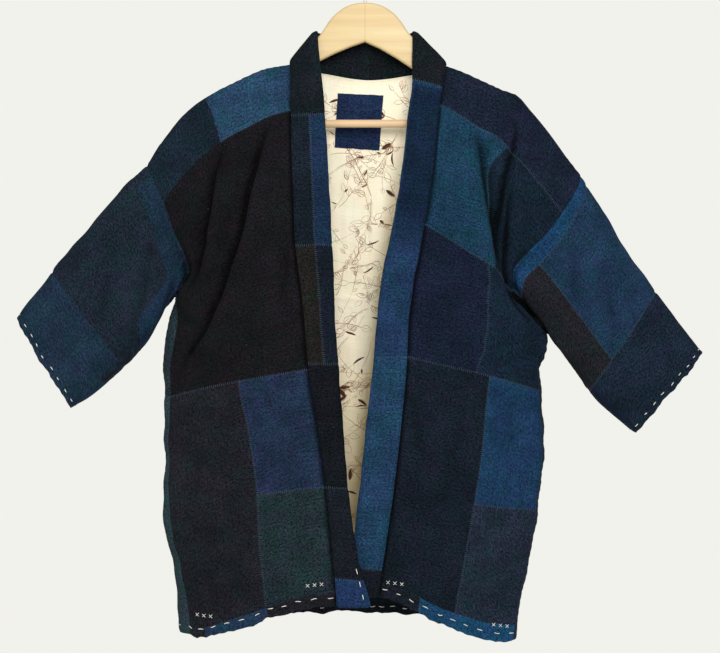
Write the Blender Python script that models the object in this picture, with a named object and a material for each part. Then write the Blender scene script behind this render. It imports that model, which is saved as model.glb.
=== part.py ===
"""A patched indigo jacket on a wooden hanger, hung by the hook."""
import math

import bmesh
import bpy
import numpy as np

MM = 0.001
WALL = 3.0            # patched and padded cloth
SEAM = 0.16           # each piece stops this short of the seam line
CENTRE_X = 3.0        # centre back seam
BACK_NECK_Z = -166.0
BACK_HEM_Z = -923.0
LINING_WALL = 1.0
LINING_LIFT = 0.5
LABEL_WALL = 1.0
LINING_TOP = 0.008
LINING_SHOULDER = 0.03
LINING_FOOT = 0.972
LINING_SIDE = 0.91
BAND_PROUD = 3.0      # collar stands this far out of the fronts
BAND_HALF = 4.2
HANGER_THICK = 11.0
BAR_DIAMETER = 11.0
SHOULDER_GAP = 5.4     # wood below the outside of the cloth over the shoulders
ARM_TIP = {1: (215, -196), -1: (222, -197)}
BAR_Z = -231.0
BAR_REACH = 211.0
WIRE_RADIUS = 1.7
HOOK_INNER_RADIUS = 18.0
STEM_DEPTH = 12.0
WOOD_TOP_Z = -62.0

# One row per level of the cloth, shoulder (0) to hem (1), in millimetres: the collar seam, the share of
# the width taken by the middle column, the armhole and side seam, and how far front and back stand out.
LEVEL = ("down", "seam_x", "seam_z", "mid", "edge_x", "edge_z", "edge_y", "front_y", "back_y", "bulge")
RIGHT_SIDE = (
    (0.000, -104, -148, .50, -304, -290, 0, 0, 0, 0),
    (0.008, -104, -149.5, .49, -304, -291.5, 5, 6.5, 6.5, 0),
    (0.016, -104, -154, .49, -303, -295, 8.5, 10.5, 10.5, 0),
    (0.030, -104, -167, .47, -298, -305, 13, 15, 15, 0),
    (0.055, -104, -188, .46, -289, -321, 18, 21, 20, 0),
    (0.090, -103, -215, .45, -279, -343, 24, 27, 25, 0),
    (0.135, -102.5, -251, .45, -269, -372, 28, 32, 29, 0),
    (0.180, -101.5, -286, .47, -259, -397, 29, 36, 32, 0),
    (0.220, -100, -318, .49, -250, -419, 26, 39, 34, 0),
    (0.260, -98.5, -350, .50, -245, -438, 18, 41, 36, 0),
    (0.290, -98, -373, .48, -254, -455, 11, 42.5, 37, 0),
    (0.320, -97, -396, .46, -266, -474, 6, 44, 38, 0),
    (0.360, -93.5, -427, .47, -262, -507, 9, 45, 39, 12),
    (0.410, -88, -466, .48, -266, -539, 12, 46.5, 40, 14),
    (0.460, -84, -505, .48, -269, -568, 14, 48, 41, 12),
    (0.550, -78, -574, .49, -272, -613, 17, 50, 42, 9),
    (0.660, -65.5, -651, .455, -272, -684, 20, 52, 43, 9),
    (0.780, -54, -735, .436, -271, -765, 23, 53, 44, 11),
    (0.900, -45, -825, .465, -255, -861, 24, 54, 45, 13),
    (0.972, -40, -879, .47, -243, -932, 25, 55, 45, 17),
    (1.000, -39, -897, .47, -240, -944, 25, 55, 45, 16),
)
LEFT_SIDE = (
    (0.000, 113, -150, .50, 302, -304, 0, 0, 0, 0),
    (0.008, 112.5, -151.5, .49, 302, -305.5, 5, 6.5, 6.5, 0),
    (0.016, 112, -156, .49, 301, -309, 8.5, 10.5, 10.5, 0),
    (0.030, 110, -168, .48, 297, -320, 13, 15, 15, 0),
    (0.055, 107, -186, .47, 288, -336, 18, 21, 20, 0),
    (0.090, 104, -208, .445, 274, -357, 24, 27, 25, 0),
    (0.135, 99, -252, .37, 254, -383, 28, 32, 29, 0),
    (0.180, 94.5, -296, .505, 226, -413, 29, 36, 32, 0),
    (0.220, 89, -335, .68, 206, -440, 26, 39, 34, 0),
    (0.260, 82, -374, .70, 206, -466, 18, 41, 36, 0),
    (0.290, 78, -397, .62, 228, -497, 10.5, 42.5, 37, 0),
    (0.320, 74, -420, .53, 254, -525, 6, 44, 38, 0),
    (0.360, 68, -446, .55, 252, -541, 9, 45, 39, 1),
    (0.410, 64, -476, .575, 246, -558, 12, 46, 40, 2),
    (0.460, 60, -506, .585, 239, -573, 14, 46.5, 41, 3),
    (0.550, 58, -557, .51, 244, -604, 17, 47, 42, 4),
    (0.660, 50, -647, .47, 247, -682, 20, 46, 43, 4),
    (0.780, 39, -744, .46, 237, -769, 23, 44, 44, 4),
    (0.900, 28, -821, .45, 220, -867, 24, 42.5, 45, 5),
    (0.972, 21, -868, .44, 210, -928, 25, 42, 45, 5),
    (1.000, 19, -886, .44, 205, -950, 25, 42, 45, 5),
)
# How far the shoulder line stands above the straight from neck to sleeve, and how far the hem bows.
ACROSS = ("across", "shoulder", "hem")
RIGHT_ACROSS = ((0, 0, 0), (.22, 22, 7), (.41, 31, 5), (.51, 36, 3), (.65, 39.5, 0), (.75, 37, -2),
                (.85, 27, -5), (.95, 12, -4), (1, 0, 0))
LEFT_ACROSS = ((0, 0, 0), (.10, 9, 1), (.30, 22, -2), (.42, 30, -8), (.55, 39.5, -11), (.64, 34, -12),
               (.76, 26, -12), (.87, 14, -9), (.96, 4, -3), (1, 0, 0))
# The neckline behind: from the neck point to the centre back.
NECK = ("back", "x_share", "y")
NECKLINE = ((0, 0, 0), (.12, .02, 9), (.3, .18, 17), (.6, .56, 21.5), (1, 1, 22.5))
# Free edge of the collar beside each level of the front, and beside each part of the neckline.
FREE = ("down", "x", "z", "set_back")
RIGHT_FREE = ((0, -67, -103, 1), (.008, -67, -104.5, 1), (.016, -66.5, -112, 1), (.03, -64.5, -138, 2),
              (.055, -60, -180, 3), (.09, -57, -212, 4), (.135, -54.5, -250, 4), (.18, -52.5, -285, 4),
              (.26, -49, -349, 4), (.36, -45, -426, 4), (.46, -42, -504, 4), (.55, -37, -574, 4),
              (.66, -31, -652, 3), (.78, -24, -737, 1), (.9, -11, -829, -1), (.972, 3, -881, -2),
              (1, 7, -897, -2))
LEFT_FREE = ((0, 67, -104, 1), (.008, 67, -105.5, 1), (.016, 67, -113, 1), (.03, 66.5, -139, 2),
             (.055, 66, -178, 3), (.09, 62, -206, 4), (.135, 57, -251, 4), (.18, 52, -295, 4),
             (.26, 40, -370, 4), (.36, 24, -445, 4), (.46, 17, -505, 4), (.55, 13, -557, 4),
             (.66, 3, -647, 3), (.78, -7, -742, 3), (.9, -17, -821, 3), (.972, -24, -861, 3),
             (1, -26, -877, 3))
FREE_BEHIND = ("back", "x_share", "y", "z")
RIGHT_BEHIND = ((0, 0, 1, -103), (.12, .01, 10, -103), (.3, .10, 20, -103), (.6, .5, 26, -102.5),
                (1, 1, 28, -102))
# Sleeves: top fold, under fold and half depth, from the armhole (0) to the cuff (1).
SLEEVE = ("along", "top_x", "top_z", "under_x", "under_z", "half", "centre_y")
RIGHT_SLEEVE = ((0, -304, -290, -266, -474, 29, 0), (.2, -349, -333, -297, -522, 30, -1),
                (.45, -393, -386, -322, -556, 29, -2), (.7, -437, -439, -357, -590, 27, -3),
                (.9, -472, -482, -387, -616, 25, -4), (1, -487, -503, -406, -626, 24, -4))
LEFT_SLEEVE = ((0, 302, -304, 254, -525, 29, 0), (.1, 318, -328, 268, -539, 30, -1),
               (.2, 333, -353, 277, -553, 30, -3), (.45, 370, -415, 301, -586, 29, -5),
               (.7, 417, -477, 328, -621, 27, -6), (.9, 453, -526, 355, -645, 25, -6),
               (1, 473, -551, 373, -660, 24, -6))

# Soft valleys pressed into a panel: width and depth, then the line they follow as (x, z).
RIGHT_FRONT_FOLDS = (
    (15, 7, ((-133, -217), (-171, -345), (-197, -429), (-217, -496), (-242, -534), (-259, -576))),
    (11, 6, ((-214, -289), (-221, -345), (-231, -398), (-248, -451))),
    (12, 3, ((-108, -401), (-116, -441), (-118, -489))),
)
LEFT_FRONT_FOLDS = (
    (14, 6, ((160, -231), (171, -299), (178, -342), (189, -385), (199, -425), (203, -450))),
    (10, 4, ((210, -282), (205, -356), (199, -410))),
)
RIGHT_BACK_FOLDS = (
    (15, 6, ((-150, -225), (-180, -340), (-205, -430), (-235, -520))),
    (12, 4, ((-215, -290), (-228, -380), (-245, -450))),
)
LEFT_BACK_FOLDS = (
    (15, 6, ((158, -235), (178, -340), (196, -430), (226, -520))),
    (12, 4, ((212, -290), (214, -370), (212, -440))),
)

DOWN_LINES = (0, .008, .016, .03, .05, .09, .15, .18, .22, .26, .29, .32, .36, .41, .48, .55, .66,
              .78, .87, .945, .972, 1)
ACROSS_LINES = (0, .17, .34, .5, .6, .76, .9, 1)
NECK_LINES = (1, .6, .3, .12)
UNDERARM = 0.32
UNDERARM_FLAT = 6.0
LOWEST = 1 + 1e-4     # the middle of the under fold, between its front and back edges
# Seam lines across a sleeve, by where they cross its top fold, its middle and its under fold.
CROSSING = ("line", "top", "middle", "under")
RIGHT_SLEEVE_LINES = ((0, 0, 0, 0), (1, .08, .08, .10), (2, .20, .18, .38), (3, .42, .38, .47),
                      (4, .70, .64, .56), (5, .80, .78, .74), (6, .90, .90, .88), (7, 1, 1, 1))
LEFT_SLEEVE_LINES = ((0, 0, 0, 0), (1, .055, .055, .03), (2, .2, .2, .2), (3, .42, .40, .38),
                     (4, .65, .62, .57), (5, .80, .78, .74), (6, .90, .90, .88), (7, 1, 1, 1))
BAND_LINES = (0, .07, .33, .54, .9, 1)
BAND_SHAPE = (1.5, 3.6, 4.2, 4.2, 3.6, 1.4)

# Patches as (name, from, to across, from, to down); a later row lies over an earlier one.
RIGHT_FRONT_PATCHES = (
    ("right_front_chest", 0, 1, .09, .55), ("right_front_shoulder", 0, .6, 0, .09),
    ("right_front_outer_shoulder", .6, 1, 0, .09), ("right_front_skirt", .5, 1, .55, .972),
    ("right_front_blue", 0, .5, .55, .78), ("right_front_green", 0, .5, .78, .972),
    ("right_hem_dark", 0, .5, .972, 1), ("right_hem_blue", .5, .9, .972, 1),
    ("right_front_skirt", .9, 1, .972, 1))
LEFT_FRONT_PATCHES = (
    ("left_front_shoulder", 0, 1, 0, .09), ("left_front_teal", 0, .6, .09, .26),
    ("left_front_outer_chest", .6, 1, .09, .26), ("left_front_breast", 0, .5, .26, .55),
    ("left_front_flank", .5, 1, .26, .55), ("left_front_skirt", 0, .6, .55, .972),
    ("left_front_blue", .6, 1, .55, .78), ("left_front_green", .6, 1, .78, .972),
    ("left_hem_dark", 0, .34, .972, 1), ("left_hem_blue", .34, 1, .972, 1))
RIGHT_BACK_PATCHES = (("right_back_upper", -1, 1, 0, .41), ("right_back_lower", -1, 1, .41, .972),
                      ("right_back_hem", -1, 1, .972, 1))
LEFT_BACK_PATCHES = (("left_back_upper", -1, 1, 0, .48), ("left_back_lower", -1, 1, .48, .972),
                     ("left_back_hem", -1, 1, .972, 1))
RIGHT_GUSSET_PATCHES = (("right_gusset_upper", -1, 1, .32, .55), ("right_gusset_lower", -1, 1, .55, 1))
LEFT_GUSSET_PATCHES = (("left_gusset", -1, 1, .32, 1),)
# Round a sleeve 0 is the top fold, 1 the under fold and 2 the top fold again; along it count seam lines.
RIGHT_SLEEVE_PATCHES = (
    ("right_sleeve_main", 0, 2, 0, 4), ("right_sleeve_cuff", 0, 2, 4, 7),
    ("right_sleeve_strip", .1, .68, 0, 1), ("right_sleeve_underarm", .68, 1, 0, 2),
    ("right_sleeve_dark", .8, 1, 3, 5))
LEFT_SLEEVE_PATCHES = (
    ("left_sleeve_main", 0, 2, 1, 4), ("left_sleeve_strip", 0, 2, 0, 1),
    ("left_sleeve_olive", .56, 1.3, 1, 4), ("left_sleeve_cuff", 0, 2, 4, 7),
    ("left_sleeve_olive", .81, 1.19, 0, 1))
# Along a collar half 0 is the hem end, 1 the neck point and 2 the centre back.
RIGHT_BAND_PATCHES = (
    ("collar_right_top", 0, 1, .91, 2), ("collar_right_teal", 0, .54, .68, .91),
    ("collar_right_light_strip", .54, 1, .68, .91), ("collar_right_olive", 0, .54, .45, .68),
    ("collar_right_navy_strip", .54, 1, .45, .68), ("collar_right_black", 0, 1, .22, .45),
    ("collar_right_navy", 0, 1, .055, .22), ("collar_right_end", 0, 1, 0, .055))
LEFT_BAND_PATCHES = (
    ("collar_left_top", 0, 1, .95, 2), ("collar_left_deep_blue", 0, 1, .45, .95),
    ("collar_left_light_blue", 0, 1, .055, .45), ("collar_left_end", 0, 1, 0, .055))


def column(names, rows, name):
    """A smooth, never overshooting curve through one named column of a table."""
    keys = np.array([row[0] for row in rows], float)
    values = np.array([row[names.index(name)] for row in rows], float)
    steps = np.diff(keys)
    slopes = np.diff(values) / steps
    tangents = np.zeros(len(keys))
    for i in range(1, len(keys) - 1):
        if slopes[i - 1] * slopes[i] > 0:
            a, b = 2 * steps[i] + steps[i - 1], steps[i] + 2 * steps[i - 1]
            tangents[i] = (a + b) / (a / slopes[i - 1] + b / slopes[i])
    tangents[0], tangents[-1] = slopes[0], slopes[-1]

    def at(u):
        u = min(max(u, keys[0]), keys[-1])
        i = min(int(np.searchsorted(keys, u, side="right")) - 1, len(steps) - 1)
        s, h = (u - keys[i]) / steps[i], steps[i]
        return float(values[i] * (1 + 2 * s) * (1 - s) ** 2 + tangents[i] * h * s * (1 - s) ** 2
                     + values[i + 1] * s * s * (3 - 2 * s) + tangents[i + 1] * h * s * s * (s - 1))
    return at


def curves(names, rows):
    return {name: column(names, rows, name) for name in names[1:]}


def blend(a, b, share):
    return a + (b - a) * share


def valley(folds, x, z):
    """How deep the folds press the cloth in at one point."""
    depth = 0.0
    for width, deep, line in folds:
        points = np.array(line, float)
        lengths = np.linalg.norm(np.diff(points, axis=0), axis=1)
        total, best = lengths.sum(), None
        travelled = 0.0
        for start, step, length in zip(points[:-1], np.diff(points, axis=0), lengths):
            share = min(max(float(np.dot((x, z) - start, step)) / length ** 2, 0), 1)
            near = float(np.hypot(*((x, z) - start - share * step)))
            if best is None or near < best[0]:
                best = (near, (travelled + share * length) / total)
            travelled += length
        near, share = best
        if near < 3.5 * width:
            taper = min(1, 4 * share + .15) * min(1, 3 * (1 - share) + .1)
            depth += deep * taper * ((1 - .9 * (near / width) ** 2) * math.exp(-(near / width) ** 2))
    return depth


class Side:
    """One half of the jacket: its tables as curves, and the points of its panels."""

    def __init__(self, levels, across, free, sleeve, lines, front_folds, back_folds):
        self.level = curves(LEVEL, levels)
        self.across = curves(ACROSS, across)
        self.free = curves(FREE, free)
        self.sleeve = curves(SLEEVE, sleeve)
        self.lines = curves(CROSSING, lines)
        self.neck = curves(NECK, NECKLINE)
        self.front_folds, self.back_folds = front_folds, back_folds
        self.neck_x, self.hem_z = levels[0][1], levels[-1][2]

    def share(self, across, down):
        middle = self.level["mid"](down)
        return column(("a", "w"), ((0, 0), (.5, middle), (1, 1)), "w")(across)

    def bow(self, across, down):
        lift = self.across["shoulder"](across) * math.exp(-down / .22)
        return lift + self.across["hem"](across) * down ** 6

    def front(self, across, down):
        share = self.share(across, down)
        x = blend(self.level["seam_x"](down), self.level["edge_x"](down), share)
        z = blend(self.level["seam_z"](down), self.level["edge_z"](down), share) + self.bow(across, down)
        round_off = (1 - across ** 3) ** .75
        y = blend(self.level["edge_y"](down), self.level["front_y"](down), round_off)
        held = min(1, down / .1) * min(1, (1 - across) * 12)
        return np.array((x, -y + held * valley(self.front_folds, x, z), z))

    def back(self, across, down):
        neck_z = self.level["seam_z"](down) + (BACK_HEM_Z - self.hem_z) * down ** 2
        neck_x = blend(self.neck_x, .92 * self.neck_x, down)
        if across >= 0:
            share = self.share(across, down)
            x = blend(neck_x, self.level["edge_x"](down), share)
            z = blend(neck_z, self.level["edge_z"](down), share) + self.bow(across, down)
            round_off = (1 - across ** 3) ** .75
            y = blend(self.level["edge_y"](down), self.level["back_y"](down), round_off)
            held = min(1, down / .1) * min(1, (1 - across) * 12)
            return np.array((x, y - held * valley(self.back_folds, x, z), z))
        inward = -across
        straight = blend(inward, self.neck["x_share"](inward), math.exp(-down / .1))
        centre_z = blend(BACK_NECK_Z, BACK_HEM_Z, down)
        ease = inward * inward * (3 - 2 * inward)
        x = blend(neck_x, CENTRE_X, straight)
        z = blend(neck_z, centre_z, ease)
        y = self.level["back_y"](down) + self.neck["y"](inward) * math.exp(-down / .05)
        return np.array((x, y, z))

    def gusset(self, across, down):
        x, z = self.level["edge_x"](down), self.level["edge_z"](down)
        y, bulge = self.level["edge_y"](down), self.level["bulge"](down)
        return np.array((x + math.copysign(bulge * (1 - across * across), x), y * across, z))

    def cuffward(self, turn, line):
        """A point of the sleeve: turn goes round from the top fold, line counts towards the cuff."""
        front, lowest = turn <= 1, turn == LOWEST
        rise = turn if front else min(1, 2 * LOWEST - turn)
        edge = self.front(1, rise * UNDERARM) if front else self.back(1, rise * UNDERARM)
        if lowest:
            edge = self.gusset(0, UNDERARM)
        angle = math.pi * rise ** .8
        high = (1 + math.cos(angle)) / 2
        places = [self.lines[name](line) for name in CROSSING[1:]]
        along = column(("high", "place"), ((0, places[2]), (.5, places[1]), (1, places[0])), "place")(high)

        def oval(at):
            table = self.sleeve
            x = blend(table["under_x"](at), table["top_x"](at), high)
            z = blend(table["under_z"](at), table["top_z"](at), high)
            deep = table["half"](at) * math.sin(angle) + (UNDERARM_FLAT if rise == 1 else 0)
            if lowest:
                deep = 0
            return np.array((x, table["centre_y"](at) + (-deep if front else deep), z))

        fade = max(0.0, 1 - along / .55) ** 2
        return oval(along) + (edge - oval(0)) * fade


def place(loose):
    """Put matching corner points together and give each one a single outward direction."""
    names, points = {}, []
    for panel in loose:
        panel["index"] = {}
        for key, point in panel["points"].items():
            mark = tuple(np.round((point + .0131) / .04))
            if mark not in names:
                names[mark] = len(points)
                points.append(np.array(point, float))
            panel["index"][key] = names[mark]
    normals = np.zeros((len(points), 3))
    facing = [[] for _ in points]
    for panel in loose:
        for cell in panel["cells"]:
            ids = [panel["index"][key] for key in cell]
            corner = [points[i] for i in ids]
            normal = np.cross(corner[2] - corner[0], corner[3] - corner[1])
            normal /= np.linalg.norm(normal)
            for n, i in enumerate(ids):
                one, two = corner[n - 1] - corner[n], corner[(n + 1) % 4] - corner[n]
                cosine = np.dot(one, two) / (np.linalg.norm(one) * np.linalg.norm(two))
                normals[i] += normal * math.acos(max(-1, min(1, cosine)))
                facing[i].append(normal)
    for i, normal in enumerate(normals):
        normal /= np.linalg.norm(normal)
        sharpest = min(float(np.dot(normal, f)) for f in facing[i])
        normal /= max(.72, sharpest) if sharpest > .45 else 1.7
    return points, normals


def wall(name, cells, outer, inner, seam=SEAM):
    """A closed piece of cloth from a set of cells, with its edge drawn in from the seam line."""
    sides = {}
    for cell in cells:
        for n in range(4):
            edge = (cell[n], cell[(n + 1) % 4])
            if edge[::-1] in sides:
                del sides[edge[::-1]]
            else:
                sides[edge] = cell
    pulls = {}
    for (one, two), cell in sides.items():
        along = outer[two] - outer[one]
        middle = sum(outer[key] for key in cell) / 4 - outer[one]
        away = middle - along * np.dot(middle, along) / np.dot(along, along)
        away /= np.linalg.norm(away)
        pulls.setdefault(one, []).append(away)
        pulls.setdefault(two, []).append(away)
    used = sorted({key for cell in cells for key in cell})
    mesh = bmesh.new()
    verts = {}
    for key in used:
        shift = np.zeros(3)
        if key in pulls:
            total = sum(pulls[key])
            shift = total * seam * len(pulls[key]) / max(.15, float(np.dot(total, total)))
        verts[key, 0] = mesh.verts.new((outer[key] + shift) * MM)
        verts[key, 1] = mesh.verts.new((inner[key] + shift) * MM)
    for one, two, three, four in cells:
        for corner in ((one, two, three), (one, three, four)):
            mesh.faces.new([verts[key, 0] for key in corner])
            mesh.faces.new([verts[key, 1] for key in reversed(corner)])
    for one, two in sides:
        if one < two:
            mesh.faces.new((verts[two, 0], verts[one, 0], verts[two, 1]))
            mesh.faces.new((verts[one, 0], verts[one, 1], verts[two, 1]))
        else:
            mesh.faces.new((verts[two, 0], verts[one, 0], verts[one, 1]))
            mesh.faces.new((verts[two, 0], verts[one, 1], verts[two, 1]))
    return finish(name, mesh)


def finish(name, mesh, smooth=True):
    bmesh.ops.recalc_face_normals(mesh, faces=mesh.faces[:])
    if mesh.calc_volume(signed=True) < 0:
        bmesh.ops.reverse_faces(mesh, faces=mesh.faces[:])
    data = bpy.data.meshes.new(name)
    mesh.to_mesh(data)
    mesh.free()
    made = bpy.data.objects.new(name, data)
    jacket.objects.link(made)
    for face in data.polygons:
        face.use_smooth = smooth
    shade = SHADES[next(key for key in SHADES if key in name)]
    material = bpy.data.materials.new("cloth_" + name)
    material.use_nodes = True
    material.node_tree.nodes["Principled BSDF"].inputs["Base Color"].default_value = (*shade, 1)
    material.node_tree.nodes["Principled BSDF"].inputs["Roughness"].default_value = .9
    data.materials.append(material)
    return made


SHADES = {
    "hanger_wood": (.72, .52, .3), "hanger_bar": (.6, .42, .25), "hanger_hook": (.5, .5, .5),
    "lining": (.75, .7, .55), "label": (.03, .06, .16), "light": (.03, .1, .22), "blue": (.025, .07, .17),
    "teal": (.02, .08, .14), "green": (.02, .045, .05), "olive": (.025, .027, .025),
    "black": (.015, .015, .02), "dark": (.015, .02, .03), "left_front_shoulder": (.02, .03, .07),
    "right_front_shoulder": (.03, .09, .17), "chest": (.02, .02, .024), "strip": (.015, .04, .08),
    "collar": (.015, .02, .035), "skirt": (.018, .02, .035), "": (.02, .035, .065),
}


def grid(point, lines_a, lines_b, flip, closed=False):
    """Points and cells of one panel over two lists of lines."""
    points = {(i, j): point(a, b) for i, a in enumerate(lines_a) for j, b in enumerate(lines_b)}
    if closed:
        last = len(lines_a) - 1
        points.update({(last, j): points[0, j] for j in range(len(lines_b))})
    cells = []
    for i in range(len(lines_a) - 1):
        for j in range(len(lines_b) - 1):
            cell = ((i, j), (i + 1, j), (i + 1, j + 1), (i, j + 1))
            cells.append(cell[::-1] if flip else cell)
    return {"points": points, "cells": cells, "a": lines_a, "b": lines_b}


def by_patch(panel, patches):
    """Share out the cells of a panel among its patches."""
    shares = {name: [] for name, *_ in patches}
    for cell in panel["cells"]:
        a = sum(panel["a"][i] for i, _ in cell) / 4
        b = sum(panel["b"][j] for _, j in cell) / 4
        owner = None
        for name, a0, a1, b0, b1 in patches:
            if a0 < a < a1 and b0 < b < b1:
                owner = name
        shares[owner].append(cell)
    return shares


def cloth_half(side, mirrored, patches, lining):
    """All the shell pieces of one half: front, back, gusset and sleeve, and the lining behind."""
    below = [line for line in DOWN_LINES if line >= UNDERARM - 1e-6]
    above = [line for line in DOWN_LINES if line <= UNDERARM + 1e-6]
    behind = [-line for line in NECK_LINES] + list(ACROSS_LINES)
    turns = [line / UNDERARM for line in above]
    turns += [LOWEST, 2 * LOWEST - 1] + [2 * LOWEST - turn for turn in reversed(turns[:-1])]
    panels = [grid(side.front, ACROSS_LINES, DOWN_LINES, mirrored),
              grid(side.back, behind, DOWN_LINES, not mirrored),
              grid(side.gusset, (-1, 0, 1), below, mirrored),
              grid(side.cuffward, turns, range(8), not mirrored, closed=True)]
    points, normals = place(panels)
    for panel, rows in zip(panels, patches):
        outer = {key: points[i] for key, i in panel["index"].items()}
        inner = {key: points[i] - normals[i] * WALL for key, i in panel["index"].items()}
        for name, cells in by_patch(panel, rows).items():
            marks = {key: panel["index"][key] for cell in cells for key in cell}
            joined = [tuple(marks[key] for key in cell) for cell in cells]
            wall(name, joined, {marks[key]: outer[key] for key in marks},
                 {marks[key]: inner[key] for key in marks})
    back = panels[1]
    cells = [[back["index"][key] for key in cell] for cell in back["cells"]
             if max(back["a"][i] for i, _ in cell) < LINING_SIDE
             and max(back["b"][j] for _, j in cell) < LINING_FOOT + .01
             and min(back["b"][j] for _, j in cell) > (LINING_TOP if max(back["a"][i] for i, _ in cell) < -.1
                                                       else LINING_SHOULDER) - .001]
    near = {i: points[i] - normals[i] * (WALL + LINING_LIFT) for cell in cells for i in cell}
    far = {i: points[i] - normals[i] * (WALL + LINING_LIFT + LINING_WALL) for i in near}
    wall(lining, cells, near, far)


def band_half(side, behind, mirrored, patches):
    """One half of the collar, from the hem up the front and round to the centre back."""
    stations, places = [], []
    for down in reversed(DOWN_LINES):
        seam = side.front(0, down)
        free = np.array((side.free["x"](down), seam[1] + side.free["set_back"](down), side.free["z"](down)))
        stations.append((seam, free))
        places.append((1 - down))
    neck = curves(FREE_BEHIND, behind)
    for back in sorted(NECK_LINES):
        free_x = blend(side.free["x"](0), CENTRE_X, neck["x_share"](back))
        stations.append((side.back(-back, 0) + (0, 0, .5), np.array((free_x, neck["y"](back), neck["z"](back)))))
        places.append(1 + back)
    outer, inner, cells = {}, {}, []
    last = len(stations) - 1
    for i, (seam, free) in enumerate(stations):
        ahead, behind_it = stations[min(i + 1, last)], stations[max(i - 1, 0)]
        path = (ahead[0] + ahead[1] - behind_it[0] - behind_it[1])
        if i == last:
            path = np.array((1.0, 0, 0)) * (1 if mirrored else -1) * -1
        normal = np.cross(path, free - seam) * (-1 if mirrored else 1)
        normal /= np.linalg.norm(normal)
        for j, (share, half) in enumerate(zip(BAND_LINES, BAND_SHAPE)):
            middle = blend(seam, free, share) + normal * (BAND_PROUD - BAND_HALF) * min(1, .5 + 4 * share)
            if i == last:
                middle[0] = CENTRE_X
            outer[i, j], inner[i, j] = middle + normal * half, middle - normal * half
            if i < last and j < len(BAND_LINES) - 1:
                cell = ((i, j), (i + 1, j), (i + 1, j + 1), (i, j + 1))
                cells.append(cell if mirrored else cell[::-1])
    panel = {"cells": cells, "a": places, "b": BAND_LINES}
    turned = [(name, b0, b1, a0, a1) for name, a0, a1, b0, b1 in patches]
    for name, share in by_patch(panel, turned).items():
        wall(name, share, outer, inner)


def back_point(side, x, z):
    """The point of a back panel at a given place as seen from in front."""
    down, across = .1, -.6
    for _ in range(12):
        point = side.back(across, down)
        down += (point[2] - z) / 760
        across += (x - point[0]) / (side.neck_x - CENTRE_X)
        across = max(-1.0, min(-.02, across))
    return side.back(across, down)


def label_patch():
    """A plain cloth rectangle laid on the lining below the neck, a little askew."""
    corners = {(0, 0): (-38.5, -185.5), (1, 0): (26, -188.5), (1, 1): (20.5, -266), (0, 1): (-43, -262)}
    wide, tall = 6, 5
    outer, inner, cells = {}, {}, []
    lift = WALL + LINING_LIFT + LINING_WALL + .35
    for i in range(wide + 1):
        for j in range(tall + 1):
            a, b = i / wide, j / tall
            spot = sum(np.array(at, float) * (a if c else 1 - a) * (b if r else 1 - b)
                       for (c, r), at in corners.items())
            side = right_half if spot[0] < CENTRE_X else left_half
            point = back_point(side, *spot)
            inner[i, j] = point - np.array((0, lift, 0))
            outer[i, j] = inner[i, j] - np.array((0, LABEL_WALL, 0))
            if i < wide and j < tall:
                cells.append(((i, j), (i, j + 1), (i + 1, j + 1), (i + 1, j)))
    wall("label", cells, outer, inner)


def plate(name, outline, thick, edge):
    """A flat board cut to an outline of (x, z) points with its edges rounded."""
    mesh = bmesh.new()
    face = mesh.faces.new([mesh.verts.new((x * MM, -thick / 2 * MM, z * MM)) for x, z in outline])
    made = bmesh.ops.extrude_face_region(mesh, geom=[face])
    grown = [v for v in made["geom"] if isinstance(v, bmesh.types.BMVert)]
    bmesh.ops.translate(mesh, vec=(0, thick * MM, 0), verts=grown)
    rims = [e for e in mesh.edges if abs(e.verts[0].co.y - e.verts[1].co.y) < 1e-9]
    bmesh.ops.bevel(mesh, geom=rims, offset=edge * MM, segments=2, affect="EDGES", profile=.5)
    return finish(name, mesh, smooth=False)


def tube(name, path, radius, sides, collection=None):
    """A round rod or wire along a path of (x, z) points in the plane of the hanger."""
    mesh = bmesh.new()
    path = np.array([(x, 0.0, z) for x, z in path])
    rings = []
    for i, point in enumerate(path):
        ahead = path[min(i + 1, len(path) - 1)] - path[max(i - 1, 0)]
        ahead /= np.linalg.norm(ahead)
        level = np.cross(ahead, (0, 1, 0))
        ring = []
        for n in range(sides):
            turn = 2 * math.pi * n / sides
            ring.append(mesh.verts.new((point + radius * (math.cos(turn) * level
                                                          + math.sin(turn) * np.array((0, 1, 0)))) * MM))
        rings.append(ring)
    for one, two in zip(rings[:-1], rings[1:]):
        for n in range(sides):
            mesh.faces.new((one[n], one[(n + 1) % sides], two[(n + 1) % sides], two[n]))
    mesh.faces.new(rings[0][::-1])
    mesh.faces.new(rings[-1])
    if collection is None:
        return finish(name, mesh)
    bmesh.ops.recalc_face_normals(mesh, faces=mesh.faces[:])
    data = bpy.data.meshes.new(name)
    mesh.to_mesh(data)
    mesh.free()
    cutter = bpy.data.objects.new(name, data)
    collection.objects.link(cutter)
    cutter.hide_render = True
    cutter.display_type = "WIRE"
    return cutter


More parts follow.
